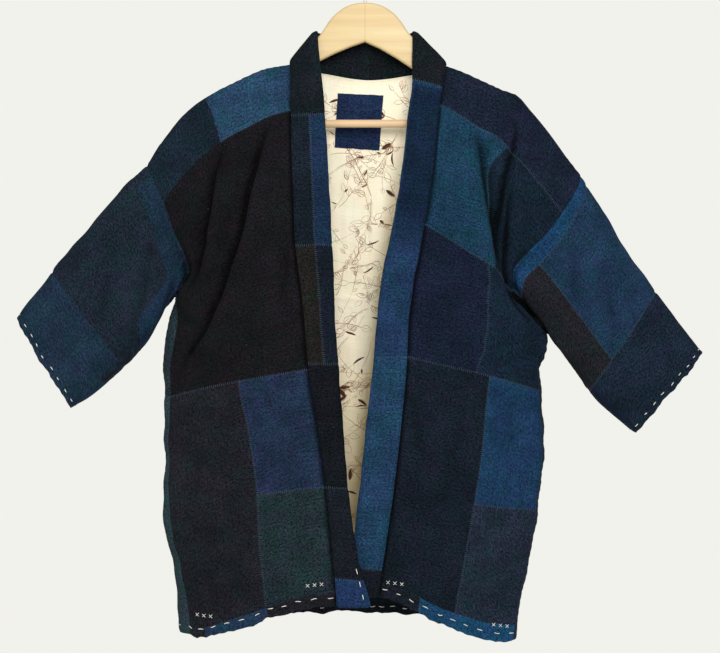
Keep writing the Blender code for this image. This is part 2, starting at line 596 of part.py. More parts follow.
def hanger():
    """A flat shaped board with a bar for trousers and a wire hook."""
    crown = [(12, -63), (24, -66.5), (35, -73), (46, -83), (56, -97), (65, -110.5)]

    def arm(side, way):
        ridge = [side.front(across, 0) for across in (0, .17, .34, .5)]
        line = [(way * x, z) for x, _, z in ridge] + [ARM_TIP[way]]
        top = []
        for n, (x, z) in enumerate(line[:-1]):
            dx, dz = line[n + 1][0] - x, line[n + 1][1] - z
            length = math.hypot(dx, dz)
            top.append((x + SHOULDER_GAP * dz / length, z - SHOULDER_GAP * dx / length))
        tip_x, tip_z = ARM_TIP[way]
        end = [(tip_x - 4, tip_z - 5), (tip_x + 1, tip_z - 13), (tip_x + 1, tip_z - 24), (tip_x - 5, tip_z - 36),
               (tip_x - 12, tip_z - 41), (tip_x - 22, tip_z - 39)]
        under = [(190, -230), (120, -186), (64, -153), (20, -126)]
        if way < 0:
            under = [(190, -230), (120, -180), (64, -144), (20, -124)]
        return [(way * x, z) for x, z in crown + top + end + under]

    outline = [(0, WOOD_TOP_Z)] + arm(left_half, 1) + [(0, -117)] + arm(right_half, -1)[::-1]
    wood = plate("hanger_wood", outline, HANGER_THICK, 1.6)
    cutters = [tube("bar_hole_" + end, ((s * (BAR_REACH + 1), BAR_Z), (s * 170, BAR_Z)),
                    BAR_DIAMETER / 2 - 2.2, 16, tools) for end, s in (("left", 1), ("right", -1))]
    cutters.append(tube("stem_hole", ((0, WOOD_TOP_Z + 5), (0, WOOD_TOP_Z - STEM_DEPTH - .2)),
                        WIRE_RADIUS + .12, 12, tools))
    for cutter in cutters:
        cut = wood.modifiers.new(cutter.name, "BOOLEAN")
        cut.operation, cut.object, cut.solver = "DIFFERENCE", cutter, "EXACT"
    tenon = BAR_DIAMETER / 2 - 2.35
    mesh_path = ((-BAR_REACH, BAR_Z), (BAR_REACH, BAR_Z))
    stepped_bar(mesh_path, tenon)
    turn = HOOK_INNER_RADIUS + WIRE_RADIUS
    top = -HOOK_INNER_RADIUS
    path = [(0, WOOD_TOP_Z - STEM_DEPTH), (0, WOOD_TOP_Z + 6), (0, WOOD_TOP_Z + 14)]
    path += [(3, -42.5), (9, -36.5)]
    for n in range(17):
        angle = math.radians(-48 + n * 248 / 16)
        path.append((turn * math.cos(angle), top + turn * math.sin(angle)))
    tube("hanger_hook", path, WIRE_RADIUS, 10)


def stepped_bar(ends, tenon):
    """The round bar with a thinner tenon at each end that goes into the arms."""
    mesh = bmesh.new()
    reach = ends[1][0]
    shoulder = 179.0
    profile = ((-reach, tenon), (-shoulder, tenon), (-shoulder, BAR_DIAMETER / 2),
               (shoulder, BAR_DIAMETER / 2), (shoulder, tenon), (reach, tenon))
    sides, rings = 16, []
    for x, radius in profile:
        rings.append([mesh.verts.new((x * MM, radius * math.cos(2 * math.pi * n / sides) * MM,
                                      (BAR_Z + radius * math.sin(2 * math.pi * n / sides)) * MM))
                      for n in range(sides)])
    for one, two in zip(rings[:-1], rings[1:]):
        for n in range(sides):
            mesh.faces.new((one[n], one[(n + 1) % sides], two[(n + 1) % sides], two[n]))
    mesh.faces.new(rings[0][::-1])
    mesh.faces.new(rings[-1])
    finish("hanger_bar", mesh)


for old in list(bpy.data.objects):
    bpy.data.objects.remove(old, do_unlink=True)
jacket = bpy.data.collections.new("patched_jacket")
tools = bpy.data.collections.new("cutters")
bpy.context.scene.collection.children.link(jacket)
bpy.context.scene.collection.children.link(tools)

right_half = Side(RIGHT_SIDE, RIGHT_ACROSS, RIGHT_FREE, RIGHT_SLEEVE,
                  RIGHT_SLEEVE_LINES, RIGHT_FRONT_FOLDS, RIGHT_BACK_FOLDS)
left_half = Side(LEFT_SIDE, LEFT_ACROSS, LEFT_FREE, LEFT_SLEEVE,
                 LEFT_SLEEVE_LINES, LEFT_FRONT_FOLDS, LEFT_BACK_FOLDS)

cloth_half(right_half, False, (RIGHT_FRONT_PATCHES, RIGHT_BACK_PATCHES, RIGHT_GUSSET_PATCHES,
                               RIGHT_SLEEVE_PATCHES), "lining_right")
cloth_half(left_half, True, (LEFT_FRONT_PATCHES, LEFT_BACK_PATCHES, LEFT_GUSSET_PATCHES,
                             LEFT_SLEEVE_PATCHES), "lining_left")
band_half(right_half, RIGHT_BEHIND, False, RIGHT_BAND_PATCHES)
band_half(left_half, RIGHT_BEHIND, True, LEFT_BAND_PATCHES)
label_patch()
hanger()
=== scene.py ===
import math

import bmesh
import bpy
import numpy as np
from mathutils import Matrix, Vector, noise
from mathutils.bvhtree import BVHTree
from mathutils.kdtree import KDTree


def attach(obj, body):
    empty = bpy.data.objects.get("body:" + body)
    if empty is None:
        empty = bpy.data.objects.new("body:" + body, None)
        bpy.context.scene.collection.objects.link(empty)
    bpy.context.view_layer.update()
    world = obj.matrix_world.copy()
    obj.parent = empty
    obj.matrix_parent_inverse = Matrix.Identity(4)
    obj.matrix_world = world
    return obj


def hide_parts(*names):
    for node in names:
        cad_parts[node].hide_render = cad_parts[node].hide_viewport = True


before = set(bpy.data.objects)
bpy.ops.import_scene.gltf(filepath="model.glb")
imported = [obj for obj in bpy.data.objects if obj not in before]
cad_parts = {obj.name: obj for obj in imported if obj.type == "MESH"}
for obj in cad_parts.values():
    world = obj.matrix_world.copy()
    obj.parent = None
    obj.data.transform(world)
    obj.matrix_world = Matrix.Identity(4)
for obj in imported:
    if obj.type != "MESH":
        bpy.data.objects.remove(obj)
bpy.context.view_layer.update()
mm = 0.001

# how the jacket is cut, in millimetres
jacket = {
    "wall": 2.8,              # patched and padded cloth
    "liningLift": .9,         # lining behind the inside of the shell
    "liningWall": .9,
    "liningTop": .008, "liningShoulder": .03, "liningFoot": .958, "liningSide": .91,
    "centreX": 3.0, "backNeckZ": -166.0, "backHemZ": -923.0,
    "bandProud": 3.0, "bandHalf": 4.2,
    "underarm": .32, "underarmFlat": 6.0,
    "seamGap": .012,          # each piece stops this short of its seam
    "step": 4.0,              # size of one facet
    "tall": 790, "wide": 215, "neckWide": 108,      # rough lengths of the panels, for their facets
    "armLong": 275, "armRound": 200, "armLine": 18,
}

neckNames = ("back", "x_share", "y")
freeNames = ("down", "x", "z", "set_back")
behindNames = ("back", "x_share", "y", "z")
lineNames = ("line", "top", "middle", "under")
levelNames = ("down", "seam_x", "seam_z", "mid", "edge_x", "edge_z", "edge_y", "front_y", "back_y", "bulge")
rightLevels = (
    (0.000, -104, -148, .50, -304, -290, 0, 0, 0, 0),
    (0.008, -104, -149.5, .49, -304, -291.5, 5, 6.5, 6.5, 0),
    (0.016, -104, -154, .49, -303, -295, 8.5, 10.5, 10.5, 0),
    (0.030, -104, -167, .47, -298, -305, 13, 15, 15, 0),
    (0.055, -104, -188, .46, -289, -321, 18, 21, 20, 0),
    (0.090, -103, -215, .45, -279, -343, 24, 27, 25, 0),
    (0.135, -102.5, -251, .45, -269, -372, 28, 32, 29, 0),
    (0.180, -101.5, -286, .47, -259, -397, 29, 36, 32, 0),
    (0.220, -100, -318, .49, -250, -419, 26, 39, 34, 0),
    (0.260, -98.5, -350, .50, -245, -438, 18, 41, 36, 0),
    (0.290, -98, -373, .48, -254, -455, 11, 42.5, 37, 0),
    (0.320, -97, -396, .46, -266, -474, 6, 44, 38, 0),
    (0.360, -93.5, -427, .47, -262, -507, 9, 45, 39, 12),
    (0.410, -88, -466, .48, -266, -539, 12, 46.5, 40, 14),
    (0.460, -84, -505, .48, -269, -568, 14, 48, 41, 12),
    (0.550, -78, -574, .49, -272, -613, 17, 50, 42, 9),
    (0.660, -65.5, -651, .455, -272, -684, 20, 52, 43, 9),
    (0.780, -54, -735, .436, -271, -765, 23, 53, 44, 11),
    (0.900, -45, -825, .465, -255, -861, 24, 54, 45, 13),
    (0.972, -40, -879, .47, -243, -932, 25, 55, 45, 17),
    (1.000, -39, -897, .47, -240, -944, 25, 55, 45, 16),
)
leftLevels = (
    (0.000, 113, -150, .50, 302, -304, 0, 0, 0, 0),
    (0.008, 112.5, -151.5, .49, 302, -305.5, 5, 6.5, 6.5, 0),
    (0.016, 112, -156, .49, 301, -309, 8.5, 10.5, 10.5, 0),
    (0.030, 110, -168, .48, 297, -320, 13, 15, 15, 0),
    (0.055, 107, -186, .47, 288, -336, 18, 21, 20, 0),
    (0.090, 104, -208, .445, 274, -357, 24, 27, 25, 0),
    (0.135, 99, -252, .37, 254, -383, 28, 32, 29, 0),
    (0.180, 94.5, -296, .505, 226, -413, 29, 36, 32, 0),
    (0.220, 89, -335, .68, 206, -440, 26, 39, 34, 0),
    (0.260, 82, -374, .70, 206, -466, 18, 41, 36, 0),
    (0.290, 78, -397, .62, 228, -497, 10.5, 42.5, 37, 0),
    (0.320, 74, -420, .53, 254, -525, 6, 44, 38, 0),
    (0.360, 68, -446, .55, 252, -541, 9, 45, 39, 1),
    (0.410, 64, -476, .575, 246, -558, 12, 46, 40, 2),
    (0.460, 60, -506, .585, 239, -573, 14, 46.5, 41, 3),
    (0.550, 58, -557, .51, 244, -604, 17, 47, 42, 4),
    (0.660, 50, -647, .47, 247, -682, 20, 46, 43, 4),
    (0.780, 39, -744, .46, 237, -769, 23, 44, 44, 4),
    (0.900, 28, -821, .45, 220, -867, 24, 42.5, 45, 5),
    (0.972, 21, -868, .44, 210, -928, 25, 42, 45, 5),
    (1.000, 19, -886, .44, 205, -950, 25, 42, 45, 5),
)
acrossNames = ("across", "shoulder", "hem")
rightAcross = ((0, 0, 0), (.22, 22, 7), (.41, 31, 5), (.51, 36, 3), (.65, 39.5, 0), (.75, 37, -2),
               (.85, 27, -5), (.95, 12, -4), (1, 0, 0))
leftAcross = ((0, 0, 0), (.10, 9, 1), (.30, 22, -2), (.42, 30, -8), (.55, 39.5, -11), (.64, 34, -12),
              (.76, 26, -12), (.87, 14, -9), (.96, 4, -3), (1, 0, 0))
neckline = ((0, 0, 0), (.12, .02, 9), (.3, .18, 17), (.6, .56, 21.5), (1, 1, 22.5))
rightFree = ((0, -67, -103, 1), (.008, -67, -104.5, 1), (.016, -66.5, -112, 1), (.03, -64.5, -138, 2),
             (.055, -60, -180, 3), (.09, -57, -212, 4), (.135, -54.5, -250, 4), (.18, -52.5, -285, 4),
             (.26, -49, -349, 4), (.36, -45, -426, 4), (.46, -42, -504, 4), (.55, -37, -574, 4),
             (.66, -31, -652, 3), (.78, -24, -737, 1), (.9, -11, -829, -1), (.972, 3, -881, -2),
             (1, 7, -897, -2))
leftFree = ((0, 67, -104, 1), (.008, 67, -105.5, 1), (.016, 67, -113, 1), (.03, 66.5, -139, 2),
            (.055, 66, -178, 3), (.09, 62, -206, 4), (.135, 57, -251, 4), (.18, 52, -295, 4),
            (.26, 40, -370, 4), (.36, 24, -445, 4), (.46, 17, -505, 4), (.55, 13, -557, 4),
            (.66, 3, -647, 3), (.78, -7, -742, 3), (.9, -17, -821, 3), (.972, -24, -861, 3),
            (1, -26, -877, 3))
bandBehind = ((0, 0, 1, -103), (.12, .01, 10, -103), (.3, .10, 20, -103), (.6, .5, 26, -102.5),
              (1, 1, 28, -102))
sleeveNames = ("along", "top_x", "top_z", "under_x", "under_z", "half", "centre_y")
rightSleeve = ((0, -304, -290, -266, -474, 29, 0), (.2, -349, -333, -297, -522, 30, -1),
               (.45, -393, -386, -322, -556, 29, -2), (.7, -437, -439, -357, -590, 27, -3),
               (.9, -472, -482, -387, -616, 25, -4), (1, -487, -503, -406, -626, 24, -4))
leftSleeve = ((0, 302, -304, 254, -525, 29, 0), (.1, 318, -328, 268, -539, 30, -1),
              (.2, 333, -353, 277, -553, 30, -3), (.45, 370, -415, 301, -586, 29, -5),
              (.7, 417, -477, 328, -621, 27, -6), (.9, 453, -526, 355, -645, 25, -6),
              (1, 473, -551, 373, -660, 24, -6))
rightFrontFolds = (
    (15, 7, ((-133, -217), (-171, -345), (-197, -429), (-217, -496), (-242, -534), (-259, -576))),
    (11, 6, ((-214, -289), (-221, -345), (-231, -398), (-248, -451))),
    (12, 3, ((-108, -401), (-116, -441), (-118, -489))),
)
leftFrontFolds = (
    (14, 6, ((160, -231), (171, -299), (178, -342), (189, -385), (199, -425), (203, -450))),
    (10, 4, ((210, -282), (205, -356), (199, -410))),
)
rightBackFolds = (
    (15, 6, ((-150, -225), (-180, -340), (-205, -430), (-235, -520))),
    (12, 4, ((-215, -290), (-228, -380), (-245, -450))),
)
leftBackFolds = (
    (15, 6, ((158, -235), (178, -340), (196, -430), (226, -520))),
    (12, 4, ((212, -290), (214, -370), (212, -440))),
)
rightSleeveLines = ((0, 0, 0, 0), (1, .08, .08, .10), (2, .20, .18, .38), (3, .42, .38, .47),
                    (4, .70, .64, .56), (5, .80, .78, .74), (6, .90, .90, .88), (7, 1, 1, 1))
leftSleeveLines = ((0, 0, 0, 0), (1, .055, .055, .03), (2, .2, .2, .2), (3, .42, .40, .38),
                   (4, .65, .62, .57), (5, .80, .78, .74), (6, .90, .90, .88), (7, 1, 1, 1))
downLines = (0, .008, .016, .03, .05, .09, .15, .18, .22, .26, .29, .32, .36, .41, .48, .55, .66,
              .78, .87, .945, .972, 1)
acrossLines = (0, .17, .34, .5, .6, .76, .9, 1)
neckLines = (1, .6, .3, .12)
seamDown = (.09, .26, .32, .41, .48, .55, .78, .972)      # lines with a seam on them, where facets are closer
seamAcross = (0, .34, .5, .6, .9, 1)
seamCuffward = (0, 1, 2, 3, 4, 5, 7)
bandLines = (0, .07, .33, .54, .9, 1)
bandShape = (1.5, 3.6, 4.2, 4.2, 3.6, 1.4)
rightFrontPatches = (
    ("right_front_chest", 0, 1, .09, .55), ("right_front_shoulder", 0, .6, 0, .09),
    ("right_front_outer_shoulder", .6, 1, 0, .09), ("right_front_skirt", .5, 1, .55, .972),
    ("right_front_blue", 0, .5, .55, .78), ("right_front_green", 0, .5, .78, .972),
    ("right_hem_dark", 0, .5, .972, 1), ("right_hem_blue", .5, .9, .972, 1),
    ("right_front_skirt", .9, 1, .972, 1))
leftFrontPatches = (
    ("left_front_shoulder", 0, 1, 0, .09), ("left_front_teal", 0, .6, .09, .26),
    ("left_front_outer_chest", .6, 1, .09, .26), ("left_front_breast", 0, .5, .26, .55),
    ("left_front_flank", .5, 1, .26, .55), ("left_front_skirt", 0, .6, .55, .972),
    ("left_front_blue", .6, 1, .55, .78), ("left_front_green", .6, 1, .78, .972),
    ("left_hem_dark", 0, .34, .972, 1), ("left_hem_blue", .34, 1, .972, 1))
rightBackPatches = (("right_back_upper", -1, 1, 0, .41), ("right_back_lower", -1, 1, .41, .972),
                    ("right_back_hem", -1, 1, .972, 1))
leftBackPatches = (("left_back_upper", -1, 1, 0, .48), ("left_back_lower", -1, 1, .48, .972),
                   ("left_back_hem", -1, 1, .972, 1))
rightGussetPatches = (("right_gusset_upper", -1, 1, .32, .55), ("right_gusset_lower", -1, 1, .55, 1))
leftGussetPatches = (("left_gusset", -1, 1, .32, 1),)
rightBandPatches = (
    ("collar_right_top", 0, 1, .90, 2), ("collar_right_teal", 0, .54, .67, .90),
    ("collar_right_light_strip", .54, 1, .67, .90), ("collar_right_olive", 0, .54, .46, .67),
    ("collar_right_navy_strip", .54, 1, .46, .67), ("collar_right_black", 0, 1, .22, .46),
    ("collar_right_navy", 0, 1, .055, .22), ("collar_right_end", 0, 1, 0, .055))
leftBandPatches = (
    ("collar_left_top", 0, 1, .95, 2), ("collar_left_deep_blue", 0, 1, .45, .95),
    ("collar_left_light_blue", 0, 1, .055, .45), ("collar_left_end", 0, 1, 0, .055))


def curve(rows, place):
    # never overshoots between the rows
    keys = np.array([row[0] for row in rows], float)
    values = np.array([row[place] for row in rows], float)
    steps = np.diff(keys)
    slopes = np.diff(values) / steps
    tangents = np.zeros(len(keys))
    for i in range(1, len(keys) - 1):
        if slopes[i - 1] * slopes[i] > 0:
            a, b = 2 * steps[i] + steps[i - 1], steps[i] + 2 * steps[i - 1]
            tangents[i] = (a + b) / (a / slopes[i - 1] + b / slopes[i])
    tangents[0], tangents[-1] = slopes[0], slopes[-1]

    def at(u):
        u = np.clip(u, keys[0], keys[-1])
        i = np.clip(np.searchsorted(keys, u, side="right") - 1, 0, len(steps) - 1)
        s, h = (u - keys[i]) / steps[i], steps[i]
        return (values[i] * (1 + 2 * s) * (1 - s) ** 2 + tangents[i] * h * s * (1 - s) ** 2
                + values[i + 1] * s * s * (3 - 2 * s) + tangents[i + 1] * h * s * s * (s - 1))
    return at


def curves(names, rows):
    return {name: curve(rows, place) for place, name in enumerate(names) if place}


def bend(first, middle, last, u):
    # a smooth curve through three places at 0, 1/2 and 1
    one, two = (middle - first) / .5, (last - middle) / .5
    both = np.where(one * two > 0, one * two, 0)
    turn = 2 * both / np.where(both > 0, one + two, 1)
    low = u < .5
    s = np.where(low, u, u - .5) / .5
    here, ahead = np.where(low, first, middle), np.where(low, middle, last)
    slopeHere, slopeAhead = np.where(low, one, turn), np.where(low, turn, two)
    return (here * (1 + 2 * s) * (1 - s) ** 2 + slopeHere * .5 * s * (1 - s) ** 2
            + ahead * s * s * (3 - 2 * s) + slopeAhead * .5 * s * s * (s - 1))


def blend(a, b, share):
    return a + (b - a) * share


def nearLine(line, x, z):
    # distance to a line of (x, z) points, and how far along it the nearest place is
    points = np.array(line, float)
    steps = np.diff(points, axis=0)
    lengths = np.hypot(*steps.T)
    near = np.full(np.shape(x), 1e9)
    along = np.zeros(np.shape(x))
    done = 0.0
    for start, step, length in zip(points[:-1], steps, lengths):
        share = np.clip(((x - start[0]) * step[0] + (z - start[1]) * step[1]) / length ** 2, 0, 1)
        away = np.hypot(x - start[0] - share * step[0], z - start[1] - share * step[1])
        closer = away < near
        near = np.where(closer, away, near)
        along = np.where(closer, (done + share * length) / lengths.sum(), along)
        done += length
    return near, along


def valley(folds, x, z):
    # how deep the big folds press the cloth in
    depth = np.zeros(np.shape(x))
    for width, deep, line in folds:
        near, share = nearLine(line, x, z)
        taper = np.minimum(1, 4 * share + .15) * np.minimum(1, 3 * (1 - share) + .1)
        depth += np.where(near < 3.5 * width, deep * taper * (1 - .9 * (near / width) ** 2)
                          * np.exp(-(near / width) ** 2), 0)
    return depth


class Half:
    # one half of the jacket: its tables as curves, and the points of its panels
    def __init__(self, levels, across, free, sleeve, lines, frontFolds, backFolds):
        self.level = curves(levelNames, levels)
        self.across = curves(acrossNames, across)
        self.free = curves(freeNames, free)
        self.sleeve = curves(sleeveNames, sleeve)
        self.lines = curves(lineNames, lines)
        self.neck = curves(neckNames, neckline)
        self.frontFolds, self.backFolds = frontFolds, backFolds
        self.neckX, self.hemZ = levels[0][1], levels[-1][2]
        self.way = 1 if self.neckX > 0 else -1

    def bow(self, across, down):
        lift = self.across["shoulder"](across) * np.exp(-down / .22)
        return lift + self.across["hem"](across) * down ** 6

    def sideways(self, across, down, seamX, seamZ, out, folds, facing):
        share = bend(0.0 * down, self.level["mid"](down), 1 + 0.0 * down, across)
        x = blend(seamX, self.level["edge_x"](down), share)
        z = blend(seamZ, self.level["edge_z"](down), share) + self.bow(across, down)
        roundOff = np.clip(1 - across ** 3, 0, 1) ** .75
        y = blend(self.level["edge_y"](down), self.level[out](down), roundOff)
        held = np.minimum(1, down / .1) * np.minimum(1, (1 - across) * 12)
        return np.stack((x, facing * (y - held * valley(folds, x, z)), z), -1)

    def front(self, across, down):
        return self.sideways(across, down, self.level["seam_x"](down), self.level["seam_z"](down),
                             "front_y", self.frontFolds, -1)

    def back(self, across, down):
        neckZ = self.level["seam_z"](down) + (jacket["backHemZ"] - self.hemZ) * down ** 2
        neckX = blend(self.neckX, .92 * self.neckX, down)
        outward = self.sideways(np.clip(across, 0, 1), down, neckX, neckZ, "back_y", self.backFolds, 1)
        inward = np.clip(-across, 0, 1)
        straight = blend(inward, self.neck["x_share"](inward), np.exp(-down / .1))
        centreZ = blend(jacket["backNeckZ"], jacket["backHemZ"], down)
        x = blend(neckX, jacket["centreX"], straight)
        z = blend(neckZ, centreZ, inward * inward * (3 - 2 * inward))
        y = self.level["back_y"](down) + self.neck["y"](inward) * np.exp(-down / .05)
        return np.where((across >= 0)[..., None], outward, np.stack((x, y, z), -1))

    def gusset(self, across, down):
        x, z = self.level["edge_x"](down), self.level["edge_z"](down)
        y, bulge = self.level["edge_y"](down), self.level["bulge"](down)
        return np.stack((x + np.sign(x) * bulge * (1 - across * across), y * across, z), -1)

    def cuffward(self, turn, line):
        # turn: 0 to 1 front from the top fold, 1 to 2 the narrow underside, 2 to 3 the back
        front, under = turn <= 1, (turn > 1) & (turn < 2)
        rise = np.where(front, turn, np.where(under, 1, 3 - turn))
        rise = np.clip(rise, 0, 1)
        one, armhole = np.ones_like(rise), rise * jacket["underarm"]
        across = np.clip(2 * turn - 3, -1, 1)
        edge = np.where(front[..., None], self.front(one, armhole), self.back(one, armhole))
        edge = np.where(under[..., None], self.gusset(across, one * jacket["underarm"]), edge)
        last = np.clip((rise - .9) / .1, 0, 1)
        angle = math.pi * np.minimum(rise, .9) ** .8
        high = (1 + np.cos(angle)) / 2 * (1 - last)
        top, middle, low = (self.lines[name](line) for name in ("top", "middle", "under"))
        along = bend(low, middle, top, high)
        def oval(at):
            x = blend(self.sleeve["under_x"](at), self.sleeve["top_x"](at), high)
            z = blend(self.sleeve["under_z"](at), self.sleeve["top_z"](at), high)
            deep = blend(self.sleeve["half"](at) * np.sin(angle), jacket["underarmFlat"], last)
            deep = deep * np.where(under, across, np.where(front, -1, 1))
            return np.stack((x, self.sleeve["centre_y"](at) + deep, z), -1)

        fade = np.clip(1 - along / .55, 0, 1) ** 2
        return oval(along) + (edge - oval(0 * along)) * fade[..., None]


# small creases laid one by one: width, depth (less than 0 is a ridge), line of (x, z) points
rightFrontCreases = (
    (5.5, 8, ((-134, -228), (-147, -273), (-162, -328), (-173, -380), (-184, -411), (-191, -432),
              (-200, -463), (-213, -494), (-224, -522), (-240, -547), (-257, -580))),
    (13, -2.6, ((-124, -262), (-146, -340), (-168, -420), (-190, -490), (-214, -540))),
    (4.8, 5.5, ((-191, -262), (-210, -307), (-215, -335), (-218, -357), (-225, -385), (-228, -410),
                (-233, -431), (-240, -451), (-252, -467))),
    (11, -2.2, ((-203, -330), (-212, -400), (-222, -450))),
    (6.5, 3.0, ((-266, -486), (-257, -499), (-246, -508), (-236, -520))),
    (6, 3.0, ((-107, -390), (-110, -424), (-114, -458), (-118, -500))),
    (7, 2.0, ((-262, -520), (-240, -548), (-210, -562), (-170, -572))),
    (11, 2.2, ((-236, -600), (-231, -680), (-238, -760), (-230, -850))),
    (12, -2.0, ((-205, -590), (-206, -680), (-200, -770), (-207, -860))),
    (10, 2.4, ((-150, -610), (-146, -700), (-136, -790), (-140, -870))),
    (9, 1.8, ((-100, -620), (-92, -700), (-84, -800))),
    (7, 1.6, ((-264, -640), (-238, -660), (-205, -668))),
    (7, 1.6, ((-262, -790), (-228, -800), (-196, -796))),
    (8, 1.8, ((-236, -892), (-170, -878), (-110, -862), (-50, -852))),
)
leftFrontCreases = (
    (5, 7.5, ((208, -214), (211, -246), (205, -276), (192, -314), (185, -348), (182, -383), (184, -420))),
    (6, 6, ((157, -240), (165, -287), (171, -341), (180, -385), (185, -425), (188, -450))),
    (4.5, 6.5, ((203, -325), (198, -360), (194, -396), (194, -440), (200, -464), (214, -490), (236, -516))),
    (12, -2.4, ((188, -270), (178, -330), (176, -352))),
    (12, -2.2, ((218, -300), (212, -350), (208, -400))),
    (8, 2.2, ((128, -300), (138, -380), (150, -440), (166, -480))),
    (8, 2.4, ((251, -540), (230, -556), (196, -566), (150, -566))),
    (9, 3.0, ((61, -606), (70, -648), (77, -690), (80, -730))),
    (7, 3.0, ((36, -740), (40, -783), (41, -811), (34, -858))),
    (10, 2.2, ((206, -600), (204, -690), (196, -780), (190, -860))),
    (11, -2.0, ((170, -590), (172, -690), (164, -790), (160, -860))),
    (10, 2.2, ((120, -610), (116, -700), (102, -790), (94, -850))),
    (7, 1.6, ((240, -650), (214, -668), (184, -672))),
    (7, 1.6, ((236, -760), (204, -770), (176, -764))),
    (7, 1.6, ((224, -836), (196, -842), (170, -836))),
    (8, 1.8, ((30, -842), (90, -866), (150, -892), (206, -908))),
)
rightBackCreases = (
    (9, 1.6, ((-60, -240), (-64, -360), (-56, -500), (-60, -660))),
    (9, -1.4, ((-130, -300), (-150, -420), (-160, -560))),
    (10, 1.7, ((-200, -560), (-196, -680), (-204, -800), (-196, -880))),
    (10, 1.5, ((-110, -600), (-104, -720), (-112, -860))),
    (9, 1.6, ((-262, -500), (-220, -540), (-160, -556))),
    (8, 1.0, ((-240, -700), (-200, -716), (-160, -710))),
)
leftBackCreases = (
    (9, 1.5, ((64, -250), (60, -380), (68, -520), (62, -680))),
    (9, -1.4, ((136, -310), (148, -430), (156, -560))),
    (10, 1.7, ((184, -560), (178, -690), (186, -800), (176, -880))),
    (10, 1.4, ((108, -600), (112, -740), (104, -860))),
    (9, 1.6, ((246, -512), (206, -548), (150, -560))),
    (8, 1.0, ((226, -690), (190, -706), (150, -700))),
)
rightSleeveCreases = (
    (9, 3.2, ((-292, -345), (-298, -410), (-304, -470), (-324, -540))),
    (10, -2.0, ((-312, -380), (-320, -440), (-336, -510))),
    (9, 2.6, ((-336, -360), (-350, -430), (-366, -500), (-380, -560))),
    (9, 2.2, ((-380, -400), (-392, -460), (-410, -520))),
    (5.5, 4.0, ((-262, -440), (-268, -470), (-284, -500))),
    (7, 2.0, ((-420, -440), (-440, -500), (-446, -550))),
)
leftSleeveCreases = (
    (6, 5.0, ((206, -455), (216, -478), (234, -504), (250, -522))),
    (9, 2.8, ((286, -372), (290, -430), (286, -490), (294, -540))),
    (10, -2.0, ((312, -400), (318, -470), (322, -540))),
    (9, 2.6, ((334, -400), (340, -470), (344, -550), (352, -600))),
    (9, 2.2, ((368, -440), (378, -520), (392, -590))),
    (7, 2.0, ((410, -490), (424, -560), (420, -610))),
)

# seam lines across a sleeve count 0 to 7; round it 0 is the top fold, 1 the under fold, 3 the top again
rightSleevePatches = (
    ("right_sleeve_main", 0, 3, 0, 4), ("right_sleeve_cuff", 0, 3, 4, 7),
    ("right_sleeve_strip", .09375, .6875, 0, 1), ("right_sleeve_underarm", .6875, 1, 0, 2),
    ("right_sleeve_dark", .8125, 1, 3, 5))
leftSleevePatches = (
    ("left_sleeve_main", 0, 3, 1, 4), ("left_sleeve_strip", 0, 3, 0, 1),
    ("left_sleeve_olive", .5625, 2.3125, 1, 4), ("left_sleeve_cuff", 0, 3, 4, 7),
    ("left_sleeve_olive", .8125, 2.1875, 0, 1))


def unit(vectors):
    return vectors / np.maximum(np.linalg.norm(vectors, axis=-1, keepdims=True), 1e-9)


def bell(away, reach):
    return np.exp(-(away / reach) ** 2)


def placesOn(line):
    # how far along a line each of its points is
    return np.concatenate(([0], np.cumsum(np.linalg.norm(np.diff(line, axis=0), axis=1))))


def toEnd(grid):
    # how far each point of a grid is from the last one of its row, along the cloth
    steps = np.linalg.norm(np.diff(grid, axis=1), axis=2)
    return np.concatenate((np.cumsum(steps[:, ::-1], axis=1)[:, ::-1], np.zeros((len(steps), 1))), axis=1)


def nearest(points, among):
    # how far each point is from the nearest of some others, and which that is
    tree = KDTree(len(among))
    for n, point in enumerate(among):
        tree.insert(point, n)
    tree.balance()
    found = [tree.find(point) for point in points]
    return np.array([hit[2] for hit in found]), np.array([hit[1] for hit in found])


def lumps(points, size, seed):
    # smooth noise from -1 to 1 in blobs of about the given size in millimetres
    shift = Vector((seed * 7.31, seed * 3.7, seed * 1.9))
    return np.array([noise.noise(Vector(point) / size + shift) for point in points])


def refine(lines, lengths, seams=()):
    # facets of even size between the given lines, with closer ones beside the seams
    made = set(lines)
    for lo, hi, length in zip(lines[:-1], lines[1:], lengths):
        count = max(1, round(length / jacket["step"]))
        inner = [lo + (hi - lo) * n / count for n in range(1, count)]
        per = (hi - lo) / length
        close = [end + sign * away * per for end, sign in ((lo, 1), (hi, -1)) if end in seams
                 for away in (1.2, 2.8) if length > 5 * away]
        inner = [u for u in inner if all(abs(u - c) > 1.0 * per for c in close)]
        made.update(inner + close)
    return np.array(sorted(made))


def quads(rows, columns, flip):
    # the cells of a grid of points, with the row and the column of each
    i, j = (at.ravel() for at in np.meshgrid(np.arange(rows - 1), np.arange(columns - 1), indexing="ij"))
    first = i * columns + j
    cells = np.stack((first, first + columns, first + columns + 1, first + 1), -1)
    return (cells[:, ::-1] if flip else cells), i, j


def ownersOf(patches, a, b):
    # which patch holds the middle of each cell; a name that comes twice is one patch
    names = [row[0] for row in patches]
    owner = np.full(len(a), -1)
    for name, a0, a1, b0, b1 in patches:
        owner[(a > a0) & (a < a1) & (b > b0) & (b < b1)] = names.index(name)
    return owner


def middles(lines, at):
    return ((lines[1:] + lines[:-1]) / 2)[at]


